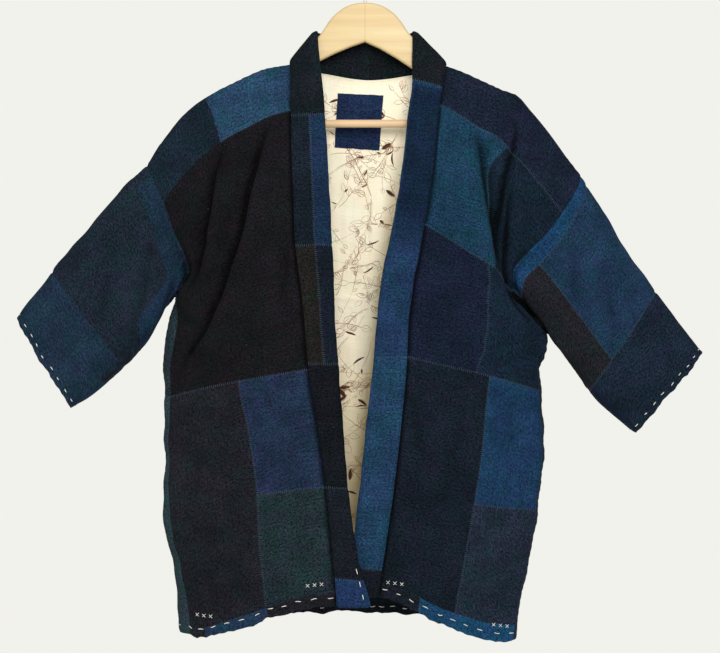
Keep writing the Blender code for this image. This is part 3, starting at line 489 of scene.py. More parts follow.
def lay(point, a, b, flip, patches, creases, name):
    # one panel: its points, the cells between them and the patch that owns each cell
    gridA, gridB = np.meshgrid(a, b, indexing="ij")
    points = point(gridA, gridB)
    cells, i, j = quads(len(a), len(b), flip)
    sideways = np.linalg.norm(np.diff(points, axis=0), axis=2)
    downward = np.linalg.norm(np.diff(points, axis=1), axis=2)
    u = np.concatenate((np.zeros((1, len(b))), np.cumsum(sideways, axis=0)))
    v = np.concatenate((np.zeros((len(a), 1)), np.cumsum(downward, axis=1)), axis=1)
    return {"name": name, "a": a, "b": b, "points": points.reshape(-1, 3), "shape": gridA.shape,
            "across": gridA.ravel(), "down": gridB.ravel(), "cells": cells, "column": i, "row": j,
            "owner": ownersOf(patches, middles(a, i), middles(b, j)), "patches": patches,
            "creases": creases, "uv": np.stack((u, -v), -1).reshape(-1, 2) * mm}


def weld(panels):
    # matching edge points become one
    loose = np.concatenate([panel["points"] for panel in panels])
    marks = np.round((loose + .0131) / .04).astype(np.int64)
    _, first, index = np.unique(marks, axis=0, return_index=True, return_inverse=True)
    start = 0
    for panel in panels:
        panel["index"] = index.ravel()[start:start + len(panel["points"])]
        start += len(panel["points"])
    return loose[first]


def cellsOf(panels):
    return np.concatenate([panel["index"][panel["cells"]] for panel in panels])


def outward(points, panels):
    # the way out of the cloth at each point, and how much its wall is squeezed at a sharp fold
    cells = cellsOf(panels)
    corner = points[cells]
    facing = unit(np.cross(corner[:, 2] - corner[:, 0], corner[:, 3] - corner[:, 1]))
    total = np.zeros_like(points)
    for n in range(4):
        np.add.at(total, cells[:, n], facing)
    total = unit(total)
    sharpest = np.ones(len(points))
    for n in range(4):
        np.minimum.at(sharpest, cells[:, n], (total[cells[:, n]] * facing).sum(1))
    return total, np.where(sharpest > .45, np.maximum(.72, sharpest), 1.7)


def endsOf(cells):
    # both ends of every side of the cells
    return [np.concatenate([cells[:, (n + end) % 4] for n in range(4)]) for end in (0, 1)]


def chains(edges):
    # runs of edges joined end to end
    beside = {}
    for one, two in edges:
        beside.setdefault(one, []).append(two)
        beside.setdefault(two, []).append(one)
    left = {frozenset(edge) for edge in edges}
    found = []
    ends = [at for at, near in beside.items() if len(near) != 2] + list(beside)
    for start in ends:
        for step in beside[start]:
            if frozenset((start, step)) not in left:
                continue
            run = [start, step]
            left.discard(frozenset((start, step)))
            while len(beside[run[-1]]) == 2:
                ahead = [n for n in beside[run[-1]] if frozenset((run[-1], n)) in left]
                if not ahead:
                    break
                left.discard(frozenset((run[-1], ahead[0])))
                run.append(ahead[0])
            found.append(run)
    return found


def seamRuns(cells, owner, names):
    # each seam between two patches: their names, and the points along it
    one, two = endsOf(cells)
    who = np.concatenate([owner] * 4)
    key = np.minimum(one, two).astype(np.int64) * (cells.max() + 1) + np.maximum(one, two)
    order = np.argsort(key, kind="stable")
    key, one, two, who = key[order], one[order], two[order], who[order]
    runs = {}
    for n in np.flatnonzero(key[1:] == key[:-1]):
        if who[n] != who[n + 1]:
            runs.setdefault(frozenset((int(who[n]), int(who[n + 1]))), []).append((int(one[n]), int(two[n])))
    return [(tuple(sorted(names[n] for n in pair)), run) for pair, edges in runs.items()
            for run in chains(edges)]


relief = {
    "seamDip": 1.2, "seamWidth": 3.0,                     # the cloth rolls down into a seam
    "fold": 1.35, "shade": 5.5, "shadeWidth": 1.5, "lineWidth": .42,     # creases, and the shade painted along them
    "pucker": .8, "puckerEvery": 11.5, "puckerReach": 13.0,
    "sag": 4.2, "sagSize": 90.0, "crumple": 1.5, "crumpleSize": 30.0,
    "scallop": 4.4, "scallopSize": 19.0, "scallopReach": 14.0,
    "hemWave": 2.2, "hemReach": 12, "flank": 2.6, "flankSize": 30.0, "flankReach": 16,    # uneven edges
    "gather": 1.0, "gatherEvery": 14.0,                   # the hem drawn up a little by its stitches
    "cuffCorner": 5.0, "cornerReach": 14,                 # the cuffs' lower corners hang low
    "backLift": (4.0, 0.0), "liftAt": -.72, "liftWide": .26, "liftReach": 25,    # the back hem raised
    "collarDip": 3.4, "collarReach": 4.5, "armDip": 2.2, "armReach": 6.0,
    "deepCrease": 4,                                      # creases deeper than this get painted shade along their line
}


def creasesOf(panel):
    # how far the panel's own creases move it, and the shade painted into them
    r = relief
    x, _, z = panel["points"].T
    total, dark = np.zeros(len(x)), np.zeros(len(x))
    for width, deep, line in panel["creases"]:
        gap, share = nearLine(line, x, z)
        taper = np.sin(np.pi * np.clip(share, .02, .98)) ** .6
        total -= r["fold"] * deep * taper * (1 - .7 * (gap / width) ** 2) * bell(gap, width)
        # painted shade: a soft dark band and a darker core line down each deep crease
        if deep > r["deepCrease"]:
            shade = .5 * bell(gap, r["shadeWidth"] * width) + .7 * bell(gap, r["lineWidth"] * width)
            dark = np.maximum(dark, taper * shade)
    return total, dark


def shape(points, panels, seed):
    # moves the welded points: seams, puckers, soft lumps and creases, then the uneven hems
    r, count = relief, len(points)
    normals, _ = outward(points, panels)
    names, owners = [], []
    for panel in panels:
        owners.append(panel["owner"] + len(names))
        names += [row[0] for row in panel["patches"]]
    seams = seamRuns(cellsOf(panels), np.concatenate(owners), names)
    marks, places = [], []
    for _, run in seams:
        place = 0.0
        for n, at in enumerate(run):
            place += np.linalg.norm(points[at] - points[run[n - 1]]) if n else 0
            marks.append(points[at])
            places.append(place)
    away, mark = nearest(points, marks)
    place = np.array(places)[mark]

    crease, dark, across, hemward = np.zeros(count), np.zeros(count), np.zeros(count), np.zeros_like(points)
    level = np.zeros(count)              # 0 on the shoulder ridge, where the hanger is close below
    held = np.ones(count)                # 0 along the collar seam and the centre back
    armhole = np.zeros(count)            # 1 in the armhole seam below the shoulder, fading away from it
    side, nearCollar, edgeAway = (np.full(count, 1e9) for _ in range(3))
    for panel in panels:
        name, index, a, b = panel["name"], panel["index"], panel["across"], panel["down"]
        crease[index], deepOnes = creasesOf(panel)
        dark[index] = np.maximum(dark[index], deepOnes)
        level[index] = np.clip((.4 if name == "sleeve" else b) / .1, 0, 1)
        across[index] = panel["uv"][:, 0] / mm
        toSide = 0 * a
        if name in ("front", "back"):
            toSide = (1 - a) * jacket["wide"]
            held[index] = np.clip((a if name == "front" else a + 1) / .08, 0, 1)
        if name == "front":
            nearCollar[index] = a * jacket["wide"] + 40 * (b < .012)
            gap, low = toSide, np.where(b < .33, b, 0)
        if name == "sleeve":
            toSide = np.where(a < 1, np.minimum(a, 1 - a), np.where(a > 2, np.minimum(3 - a, a - 2), 0))
            toSide = toSide * jacket["armRound"]
            gap, low = b * jacket["armLine"], np.where(a < 1.3, np.minimum(a, 1) * jacket["underarm"], 0)
        side[index] = np.minimum(side[index], toSide)
        if name in ("front", "sleeve"):
            near = bell(gap, r["armReach"]) * np.clip((low - .13) / .12, 0, 1)
            armhole[index] = np.maximum(armhole[index], near)
        grid = points[index].reshape(*panel["shape"], 3)
        edgeAway[index] = toEnd(grid).ravel()
        hemward[index] = np.repeat(unit(grid[:, -1] - grid[:, -3]), panel["shape"][1], axis=0)

    push = -r["seamDip"] * bell(away, r["seamWidth"])
    wobble = lumps(points, 40, seed + 5)
    push += (r["pucker"] * np.sin(2 * math.pi * place / r["puckerEvery"] + 4 * wobble)
             * np.exp(-away / r["puckerReach"]) * np.minimum(1, away / 3))
    soft = r["sag"] * lumps(points * (1, 1, .8), r["sagSize"], seed)
    soft += r["crumple"] * lumps(points, r["crumpleSize"], seed + 1)
    edging = r["flank"] * lumps(points * (.5, .3, 1), r["flankSize"], seed + 13) * bell(side, r["flankReach"])
    groove = bell(nearCollar, r["collarReach"])
    push = (push + soft + crease + edging) * held - r["collarDip"] * groove - r["armDip"] * armhole
    push = np.where(push < 0, push * blend(.35, 1, level), push * blend(.6, 1, level))

    drawn = points * (1, .6, .35)
    notch = r["scallop"] * lumps(drawn, r["scallopSize"], seed + 9)
    uneven = 1 + 1.6 * lumps(drawn, 33, seed + 15)
    notch = notch - r["gather"] * uneven * np.abs(np.cos(math.pi * across / r["gatherEvery"]))
    slide = notch * bell(edgeAway, r["scallopReach"])
    for panel in panels:
        index, a = panel["index"], panel["across"]
        if panel["name"] == "sleeve":
            corner = bell(np.maximum(abs(a - 1.5) - .62, 0), .22)
            slide[index] += r["cuffCorner"] * corner * np.exp(-edgeAway[index] / r["cornerReach"])
        if panel["name"] == "back":
            slide[index] -= (r["backLift"][seed - 1] * bell(a - r["liftAt"], r["liftWide"])
                             * np.exp(-edgeAway[index] / r["liftReach"]))
    wave = r["hemWave"] * lumps(drawn, 14, seed + 11) * bell(edgeAway, r["hemReach"])
    shift = normals * (push + wave * held)[:, None] + hemward * (slide * held)[:, None]
    # the rows packed close at the sleeve's lower fold move together
    arm = panels[3]
    grid = shift[arm["index"]].reshape(*arm["shape"], 3)
    first = int(np.searchsorted(arm["a"], .89)) - 1
    last = len(arm["a"]) - 1 - first
    for n in range(first + 1, last):
        together = blend(grid[first], grid[last], np.clip(arm["a"][n] - 1, 0, 1))
        grid[n] = blend(grid[n], together, np.clip(arm["b"] / .6, 0, 1)[:, None])
    shift[arm["index"]] = grid.reshape(-1, 3)
    # above 0 the cloth is rubbed pale at seams, edges and crease ridges; below 0 is painted shade, in crease
    # hollows, along deep creases, in the collar groove and in the armhole seam
    wear = np.exp(-away / 2.6) + .8 * np.exp(-edgeAway / 3.5)
    wear += .25 * np.clip(crease / 3, 0, 1) - np.clip((-crease - 2.2) / r["shade"], 0, 1) * level
    wear -= (1.3 * groove + .75 * dark) * level + 1.5 * armhole
    return points + shift, seams, np.clip(wear, -1, 1)


def nodeGroup(name, inputs, outputs):
    group = bpy.data.node_groups.new(name, "ShaderNodeTree")
    for label, kind, value in inputs:
        socket = group.interface.new_socket(name=label, in_out="INPUT", socket_type=kind)
        if value is not None:
            socket.default_value = value
    for label, kind in outputs:
        group.interface.new_socket(name=label, in_out="OUTPUT", socket_type=kind)
    return group, group.nodes.new("NodeGroupInput").outputs, group.nodes.new("NodeGroupOutput").inputs


def wire(tree, source, target):
    if isinstance(source, (int, float, tuple)):
        target.default_value = source
    else:
        tree.links.new(source, target)


def calc(tree, operation, a, b=0.0, c=0.0):
    node = tree.nodes.new("ShaderNodeMath")
    node.operation = operation
    for n, value in enumerate((a, b, c)):
        wire(tree, value, node.inputs[n])
    return node.outputs[0]


def scaled(tree, vector, factor):
    node = tree.nodes.new("ShaderNodeVectorMath")
    node.operation = "SCALE"
    wire(tree, vector, node.inputs[0])
    wire(tree, factor, node.inputs["Scale"])
    return node.outputs[0]


def mapped(tree, vector, scale, location=(0, 0, 0)):
    node = tree.nodes.new("ShaderNodeMapping")
    wire(tree, vector, node.inputs["Vector"])
    node.inputs["Scale"].default_value = scale
    node.inputs["Location"].default_value = location
    return node.outputs[0]


def cloud(tree, vector, scale, detail=2.0, rough=.5):
    node = tree.nodes.new("ShaderNodeTexNoise")
    wire(tree, vector, node.inputs["Vector"])
    wire(tree, scale, node.inputs["Scale"])
    node.inputs["Detail"].default_value = detail
    node.inputs["Roughness"].default_value = rough
    return node.outputs["Fac"]


def ramp(tree, value, lo, hi, low=0.0, high=1.0):
    node = tree.nodes.new("ShaderNodeMapRange")
    for n, given in enumerate((value, lo, hi, low, high)):
        wire(tree, given, node.inputs[n])
    return node.outputs[0]


def mixed(tree, share, a, b, how="MIX"):
    node = tree.nodes.new("ShaderNodeMix")
    node.data_type, node.blend_type = "RGBA", how
    wire(tree, share, node.inputs[0])
    wire(tree, a, node.inputs[6])
    wire(tree, b, node.inputs[7])
    return node.outputs[2]


def plainWeave():
    # over and under threads, some thicker than others
    group, given, out = nodeGroup("plainWeave", (
        ("Vector", "NodeSocketVector", None), ("Threads", "NodeSocketFloat", 1000.0),
        ("Slub", "NodeSocketFloat", .5)),
        (("Height", "NodeSocketFloat"), ("Streak", "NodeSocketFloat")))
    flat = given["Vector"]
    slack = calc(group, "MULTIPLY", cloud(group, mapped(group, flat, (60, 60, 60)), 1.0, 2), .0035)
    turns = calc(group, "MULTIPLY", given["Threads"], math.pi)
    parts = group.nodes.new("ShaderNodeSeparateXYZ")
    wire(group, flat, parts.inputs[0])
    across, along = (calc(group, "MULTIPLY", calc(group, "ADD", part, slack), turns)
                     for part in parts.outputs[:2])
    checks = calc(group, "MULTIPLY", calc(group, "SINE", across), calc(group, "SINE", along))
    checks = calc(group, "MULTIPLY_ADD", checks, .5, .5)
    weft = cloud(group, mapped(group, flat, (22, 620, 1)), 1.0, 3, .6)
    warp = cloud(group, mapped(group, flat, (560, 16, 1), (3, 7, 0)), 1.0, 3, .6)
    streak = calc(group, "ADD", calc(group, "MULTIPLY", weft, .62), calc(group, "MULTIPLY", warp, .38))
    streak = ramp(group, streak, .34, .66)
    wire(group, calc(group, "ADD", checks, calc(group, "MULTIPLY", streak, given["Slub"])), out["Height"])
    wire(group, streak, out["Streak"])
    return group


def wornIndigo(weave):
    # dyed cotton: streaks of thinner dye, faded blooms, pale worn seams, specks of bare thread, and painted
    # shade between the threads and in hollows
    group, given, out = nodeGroup("wornIndigo", (
        ("Vector", "NodeSocketVector", None), ("Place", "NodeSocketVector", None),
        ("Dye", "NodeSocketColor", (.01, .02, .04, 1)), ("Faded", "NodeSocketColor", (.03, .06, .1, 1)),
        ("Fade", "NodeSocketFloat", .35), ("Streaks", "NodeSocketFloat", .35),
        ("Threads", "NodeSocketFloat", 1000.0), ("Slub", "NodeSocketFloat", .6),
        ("Wear", "NodeSocketFloat", 0.0), ("Nubs", "NodeSocketFloat", .6),
        ("Deep", "NodeSocketColor", (1, 1, 1, 1))),
        (("Color", "NodeSocketColor"), ("Roughness", "NodeSocketFloat"), ("Height", "NodeSocketFloat")))
    flat, place, wear, nubs = (given[label] for label in ("Vector", "Place", "Wear", "Nubs"))
    cloth = group.nodes.new("ShaderNodeGroup")
    cloth.node_tree = weave
    for label in ("Vector", "Threads", "Slub"):
        wire(group, given[label], cloth.inputs[label])
    bloom = ramp(group, cloud(group, place, 11.0, 4, .62), .36, .68)
    small = ramp(group, cloud(group, place, 70.0, 3, .6), .35, .7)
    pale = calc(group, "MULTIPLY", calc(group, "MULTIPLY_ADD", bloom, .7, calc(group, "MULTIPLY", small, .3)),
                given["Fade"])
    streak = calc(group, "MULTIPLY", cloth.outputs["Streak"], given["Streaks"])
    rubbed = calc(group, "MULTIPLY", calc(group, "MAXIMUM", wear, 0.0),
                  ramp(group, cloud(group, place, 160.0, 3), .38, .62))
    share = calc(group, "ADD", calc(group, "ADD", pale, streak), calc(group, "MULTIPLY", rubbed, .13))
    clamped = group.nodes.new("ShaderNodeClamp")
    wire(group, share, clamped.inputs[0])
    colour = mixed(group, clamped.outputs[0], given["Dye"], given["Faded"])
    # painted shade: the weave's low threads darker, and the cloth darker in hollows, where the given value is
    # below 0
    light = calc(group, "MULTIPLY", ramp(group, cloth.outputs["Height"], .1, 1.2, .80, 1.16),
                 ramp(group, wear, -1, 0, .26, 1))
    colour = scaled(group, colour, light)
    colour = scaled(group, colour, ramp(
        group, cloud(group, mapped(group, flat, (.8, 1, 1)), 400.0, 3, .8), .34, .66,
        calc(group, "SUBTRACT", 1.0, nubs), calc(group, "ADD", 1.0, nubs)))
    # single threads of redder and greener dye, then broader patches of them, paler and darker
    hue = ramp(group, cloud(group, mapped(group, flat, (.8, 1, 1), (5, 2, 0)), 330.0, 2, .7), .36, .64)
    drift = ramp(group, cloud(group, mapped(group, place, (1, .3, 1), (2, 9, 4)), 42.0, 3, .6), .38, .62)
    tinted = mixed(group, 1.0, mixed(group, hue, (1.30, .90, 1.06, 1), (.74, 1.08, .96, 1)),
                   mixed(group, drift, (1.20, .95, 1.08, 1), (.82, 1.05, .93, 1)), "MULTIPLY")
    tinted = scaled(group, tinted, ramp(
        group, cloud(group, mapped(group, place, (1, .3, 1), (7, 3, 1)), 36.0, 3, .6), .38, .62, .85, 1.15))
    colour = mixed(group, ramp(group, nubs, 0, .3), colour, mixed(group, 1.0, colour, tinted, "MULTIPLY"))
    specks = ramp(group, cloud(group, mapped(group, flat, (1, .45, 1)), 480.0, 1), .765, .80)
    colour = mixed(group, calc(group, "MULTIPLY", specks, .3), colour, (.16, .21, .27, 1))
    # painted shade: hollows also tinted by the given shade colour
    colour = mixed(group, ramp(group, wear, -.6, 0, 1, 0), colour,
                   mixed(group, 1.0, colour, given["Deep"], "MULTIPLY"))
    wire(group, colour, out["Color"])
    wire(group, ramp(group, small, 0, 1, .82, .96), out["Roughness"])
    wire(group, cloth.outputs["Height"], out["Height"])
    return group


def woodGrain():
    group, given, out = nodeGroup("woodGrain", (
        ("Vector", "NodeSocketVector", None), ("Pale", "NodeSocketColor", (.8, .6, .35, 1)),
        ("Dark", "NodeSocketColor", (.6, .4, .2, 1))),
        (("Color", "NodeSocketColor"), ("Roughness", "NodeSocketFloat"), ("Height", "NodeSocketFloat")))
    drift = cloud(group, mapped(group, given["Vector"], (5, 5, 14)), 1.0, 2)
    rings = cloud(group, mapped(group, given["Vector"], (4, 60, 95)), 1.0, 4, .55)
    fine = cloud(group, mapped(group, given["Vector"], (30, 500, 700)), 1.0, 2)
    share = calc(group, "ADD", calc(group, "MULTIPLY", rings, .7), calc(group, "MULTIPLY", drift, .3))
    share = calc(group, "MULTIPLY", ramp(group, share, .36, .66), .75)
    share = calc(group, "ADD", share, calc(group, "MULTIPLY", fine, .25))
    wire(group, mixed(group, share, given["Pale"], given["Dark"]), out["Color"])
    wire(group, ramp(group, share, 0, 1, .42, .56), out["Roughness"])
    wire(group, fine, out["Height"])
    return group


def blankMaterial(name):
    material = bpy.data.materials.new(name)
    material.use_nodes = True
    tree = material.node_tree
    place = tree.nodes.new("ShaderNodeTexCoord").outputs["Object"]
    return material, tree, tree.nodes["Principled BSDF"], place


def emboss(tree, height, strength, distance, shader):
    bump = tree.nodes.new("ShaderNodeBump")
    bump.inputs["Strength"].default_value = strength
    bump.inputs["Distance"].default_value = distance
    wire(tree, height, bump.inputs["Height"])
    wire(tree, bump.outputs[0], shader.inputs["Normal"])


def newMaterial(name, group, sheen, bump, depth=.0003, specular=.06):
    material, tree, shader, place = blankMaterial(name)
    shader.inputs["Specular IOR Level"].default_value = specular
    shader.inputs["Sheen Weight"].default_value = sheen
    shader.inputs["Sheen Roughness"].default_value = .55
    effect = tree.nodes.new("ShaderNodeGroup")
    effect.node_tree = group
    wire(tree, effect.outputs["Color"], shader.inputs["Base Color"])
    wire(tree, effect.outputs["Roughness"], shader.inputs["Roughness"])
    emboss(tree, effect.outputs["Height"], bump, depth, shader)
    return material, tree, shader, place, effect


def clothMaterial(name, sheen, bump, values):
    material, tree, _, place, effect = newMaterial(name, indigoGroup, sheen, bump)
    flat = tree.nodes.new("ShaderNodeUVMap")
    flat.uv_map = "cloth"
    worn = tree.nodes.new("ShaderNodeAttribute")
    worn.attribute_name = "wear"
    wire(tree, flat.outputs[0], effect.inputs["Vector"])
    wire(tree, place, effect.inputs["Place"])
    wire(tree, worn.outputs["Fac"], effect.inputs["Wear"])
    for label, value in values.items():
        effect.inputs[label].default_value = value
    return material


def indigoCloth(name, dye, streaks, fade):
    # the given dye is the average of the finished cloth
    return clothMaterial(name, .01, .45, {
        "Dye": (*(.72 * c for c in dye), 1), "Faded": (*(min(1, 2.1 * c + .004) for c in dye), 1),
        "Streaks": streaks, "Fade": fade, "Threads": 900.0, "Nubs": 1.0 if max(dye) < .035 else .8})


def plainCotton(name, colour, shadow):
    return clothMaterial(name, .02, .25, {
        # the lining's painted shade is tinted warmer by this colour
        "Dye": (*shadow, 1), "Faded": (*colour, 1), "Deep": (1, .90, .66, 1), "Streaks": .45, "Fade": .8,
        "Threads": 1100.0, "Slub": .3, "Nubs": .03})


def plainThread(name, colour, roughness=.7):
    material, tree, shader, place = blankMaterial(name)
    uneven = ramp(tree, cloud(tree, place, 240.0, 2), .35, .65)
    wire(tree, mixed(tree, uneven, (*(.7 * c for c in colour), 1), (*colour, 1)), shader.inputs["Base Color"])
    twist = tree.nodes.new("ShaderNodeTexWave")
    twist.bands_direction = "DIAGONAL"
    twist.inputs["Scale"].default_value = 420.0
    wire(tree, place, twist.inputs["Vector"])
    emboss(tree, twist.outputs["Fac"], .3, .0002, shader)
    shader.inputs["Roughness"].default_value = roughness
    shader.inputs["Specular IOR Level"].default_value = .15
    return material


indigoGroup = wornIndigo(plainWeave())
grainGroup = woodGrain()

# average colour, how streaky the dye is and how faded, for each piece
clothes = {
    "right_front_shoulder": ((.0118, .039, .075), .45, .35),
    "right_front_outer_shoulder": ((.0055, .0127, .0216), .25, .3),
    "right_front_chest": ((.0059, .0062, .0081), .2, .2),
    "right_front_skirt": ((.0091, .0109, .0151), .2, .25),
    "right_front_blue": ((.008, .017, .0385), .5, .3),
    "right_front_green": ((.0093, .0188, .0241), .35, .3),
    "right_hem_dark": ((.0095, .01, .015), .2, .2),
    "right_hem_blue": ((.008, .024, .05), .3, .3),
    "left_front_shoulder": ((.006, .0108, .0236), .25, .3),
    "left_front_teal": ((.0044, .0247, .0472), .6, .35),
    "left_front_outer_chest": ((.0032, .0094, .0182), .3, .3),
    "left_front_breast": ((.0049, .0094, .0231), .25, .25),
    "left_front_flank": ((.0044, .0126, .0246), .3, .3),
    "left_front_skirt": ((.0049, .0093, .0166), .25, .25),
    "left_front_blue": ((.0069, .028, .069), .35, .25),
    "left_front_green": ((.0092, .0168, .0286), .35, .3),
    "left_hem_blue": ((.0063, .0436, .099), .35, .3),
    "left_hem_dark": ((.0074, .0102, .0172), .25, .25),
    "right_back_upper": ((.008, .015, .031), .3, .3),
    "right_back_lower": ((.0075, .019, .037), .3, .3),
    "right_back_hem": ((.007, .0095, .015), .35, .3),
    "left_back_upper": ((.0078, .012, .024), .3, .3),
    "left_back_lower": ((.009, .03, .062), .4, .3),
    "left_back_hem": ((.0072, .0095, .015), .25, .3),
    "right_gusset_upper": ((.013, .024, .031), .3, .3),
    "right_gusset_lower": ((.017, .035, .044), .35, .35),
    "left_gusset": ((.008, .018, .035), .3, .3),
    "right_sleeve_main": ((.0078, .0147, .024), .25, .3),
    "right_sleeve_strip": ((.0065, .019, .0355), .3, .3),
    "right_sleeve_underarm": ((.0062, .0185, .0385), .35, .3),
    "right_sleeve_cuff": ((.0072, .0188, .0362), .35, .4),
    "right_sleeve_dark": ((.0071, .0121, .0188), .25, .3),
    "left_sleeve_strip": ((.0048, .0302, .0725), .4, .35),
    "left_sleeve_main": ((.0078, .0246, .053), .3, .35),
    "left_sleeve_olive": ((.0091, .0111, .0142), .25, .25),
    "left_sleeve_cuff": ((.0056, .012, .0235), .3, .35),
    "collar_right_top": ((.0057, .0091, .0129), .2, .25),
    "collar_right_teal": ((.0042, .0085, .0143), .3, .3),
    "collar_right_light_strip": ((.0063, .018, .0445), .35, .3),
    "collar_right_olive": ((.0078, .0084, .0075), .25, .3),
    "collar_right_navy_strip": ((.0044, .0081, .015), .25, .3),
    "collar_right_black": ((.0041, .0052, .0085), .2, .2),
    "collar_right_navy": ((.006, .0083, .014), .2, .25),
    "collar_right_end": ((.0097, .0287, .0801), .3, .3),
    "collar_left_top": ((.0057, .0091, .0113), .2, .25),
    "collar_left_deep_blue": ((.0068, .0235, .057), .35, .5),
    "collar_left_light_blue": ((.0084, .0319, .0686), .4, .3),
    "collar_left_end": ((.0062, .009, .015), .25, .25),
    "label": ((.0095, .0215, .0585), .35, .2),
}
print("materials: shared weave, indigo, lining and wood effects built")


def camel(node):
    first, *rest = node.split("_")
    return first + "".join(word.capitalize() for word in rest)


def meshObject(name, verts, faces, uvs, wear, insides, materials, angle=48):
    data = bpy.data.meshes.new(name)
    data.from_pydata((np.asarray(verts) * mm).tolist(), [], faces)
    if uvs is not None:
        data.uv_layers.new(name="cloth").data.foreach_set("uv", np.asarray(uvs, np.float32).ravel())
        data.attributes.new("wear", "FLOAT", "POINT").data.foreach_set("value", np.asarray(wear, np.float32))
    for material in materials:
        data.materials.append(material)
    if insides is not None:
        data.polygons.foreach_set("material_index", np.asarray(insides, np.int32))
    data.polygons.foreach_set("use_smooth", [True] * len(data.polygons))
    data.set_sharp_from_angle(angle=math.radians(angle))
    data.validate()
    made = bpy.data.objects.new(name, data)
    bpy.context.scene.collection.objects.link(made)
    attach(made, "root")
    return made


def edgeKeys(one, two):
    # one number for each edge, both ways round
    return np.concatenate((one * 10 ** 7 + two, two * 10 ** 7 + one))


def sewPiece(node, cells, cornerUv, outer, inner, wear, freeKeys, cloths, gap=jacket["seamGap"], turned=0):
    # a closed wall: outside, inside and the cut edge, which is rounded where it is a free hem;
    # cloths are the outside's and the inside's, and turned cells show the outside's inside too
    used, local = np.unique(cells, return_inverse=True)
    local = local.reshape(cells.shape)
    count = len(used)
    top, low = outer[used].copy(), inner[used].copy()
    one, two = endsOf(local)
    uvOne, uvTwo = endsOf(cornerUv)
    cell = np.tile(np.arange(len(cells)), 4)
    border = ~np.isin(two * count + one, one * count + two)
    one, two, uvOne, uvTwo, cell = one[border], two[border], uvOne[border], uvTwo[border], cell[border]
    along = top[two] - top[one]
    away = top[local[cell]].mean(1) - top[one]
    away -= along * ((away * along).sum(1) / np.maximum((along * along).sum(1), 1e-9))[:, None]
    away = unit(away)
    pull, number = np.zeros((count, 3)), np.zeros(count)
    for ends in (one, two):
        np.add.at(pull, ends, away)
        np.add.at(number, ends, 1)
    shift = pull * (gap * number / np.maximum((pull * pull).sum(1), .15))[:, None]
    top, low = top + shift, low + shift
    free = np.isin(used[one] * 10 ** 7 + used[two], freeKeys)
    rounded = np.unique(np.concatenate((one[free], two[free])))
    middle = {int(at): 2 * count + n for n, at in enumerate(rounded)}
    halfWall = np.linalg.norm(top - low, axis=1)[:, None] / 2
    mids = (top + low)[rounded] / 2 - unit(pull)[rounded] * halfWall[rounded] * .75
    faces = local.tolist() + (local[:, ::-1] + count).tolist()
    uvs = [cornerUv.reshape(-1, 2), cornerUv[:, ::-1].reshape(-1, 2)]
    insides = [0] * len(local) + (1 - turned * np.ones(len(local), int)).tolist()
    for a, b, uvA, uvB, isFree in zip(one.tolist(), two.tolist(), uvOne, uvTwo, free.tolist()):
        if isFree:
            faces += [[b, a, middle[a], middle[b]], [middle[b], middle[a], a + count, b + count]]
            uvs.append(np.array((uvB, uvA, uvA, uvB, uvB, uvA, uvA, uvB)))
            insides += [0, 0]
        else:
            face = [b, a] + ([middle[a]] if a in middle else []) + [a + count, b + count]
            faces.append(face + ([middle[b]] if b in middle else []))
            uvs.append(np.array([uvB, uvA] + [uvA] * (a in middle) + [uvA, uvB] + [uvB] * (b in middle)))
            insides.append(0)
    # rubbed pale above 0 and painted shade below 0; the rounded hem edges are rubbed pale
    rubAndShade = np.concatenate((wear[used], wear[used], np.ones(len(mids))))
    made = meshObject(camel(node), np.concatenate((top, low, mids)), faces, np.concatenate(uvs), rubAndShade, insides,
                      cloths)
    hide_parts(node)
    sheets[node] = made


def outerFaces(points, cells):
    return BVHTree.FromPolygons((points * mm).tolist(), cells.tolist())


def clothOf(node):
    return indigoCloth(camel(node) + "Cotton", *clothes[node])


liningCotton = plainCotton("creamLiningCotton", (1, .95, .79), (1, .90, .66))
unlined = ("hem", "back_lower", "underarm", "strip", "olive", "gusset", "sleeve_dark")
sheets, panelOf, halves = {}, {}, {}


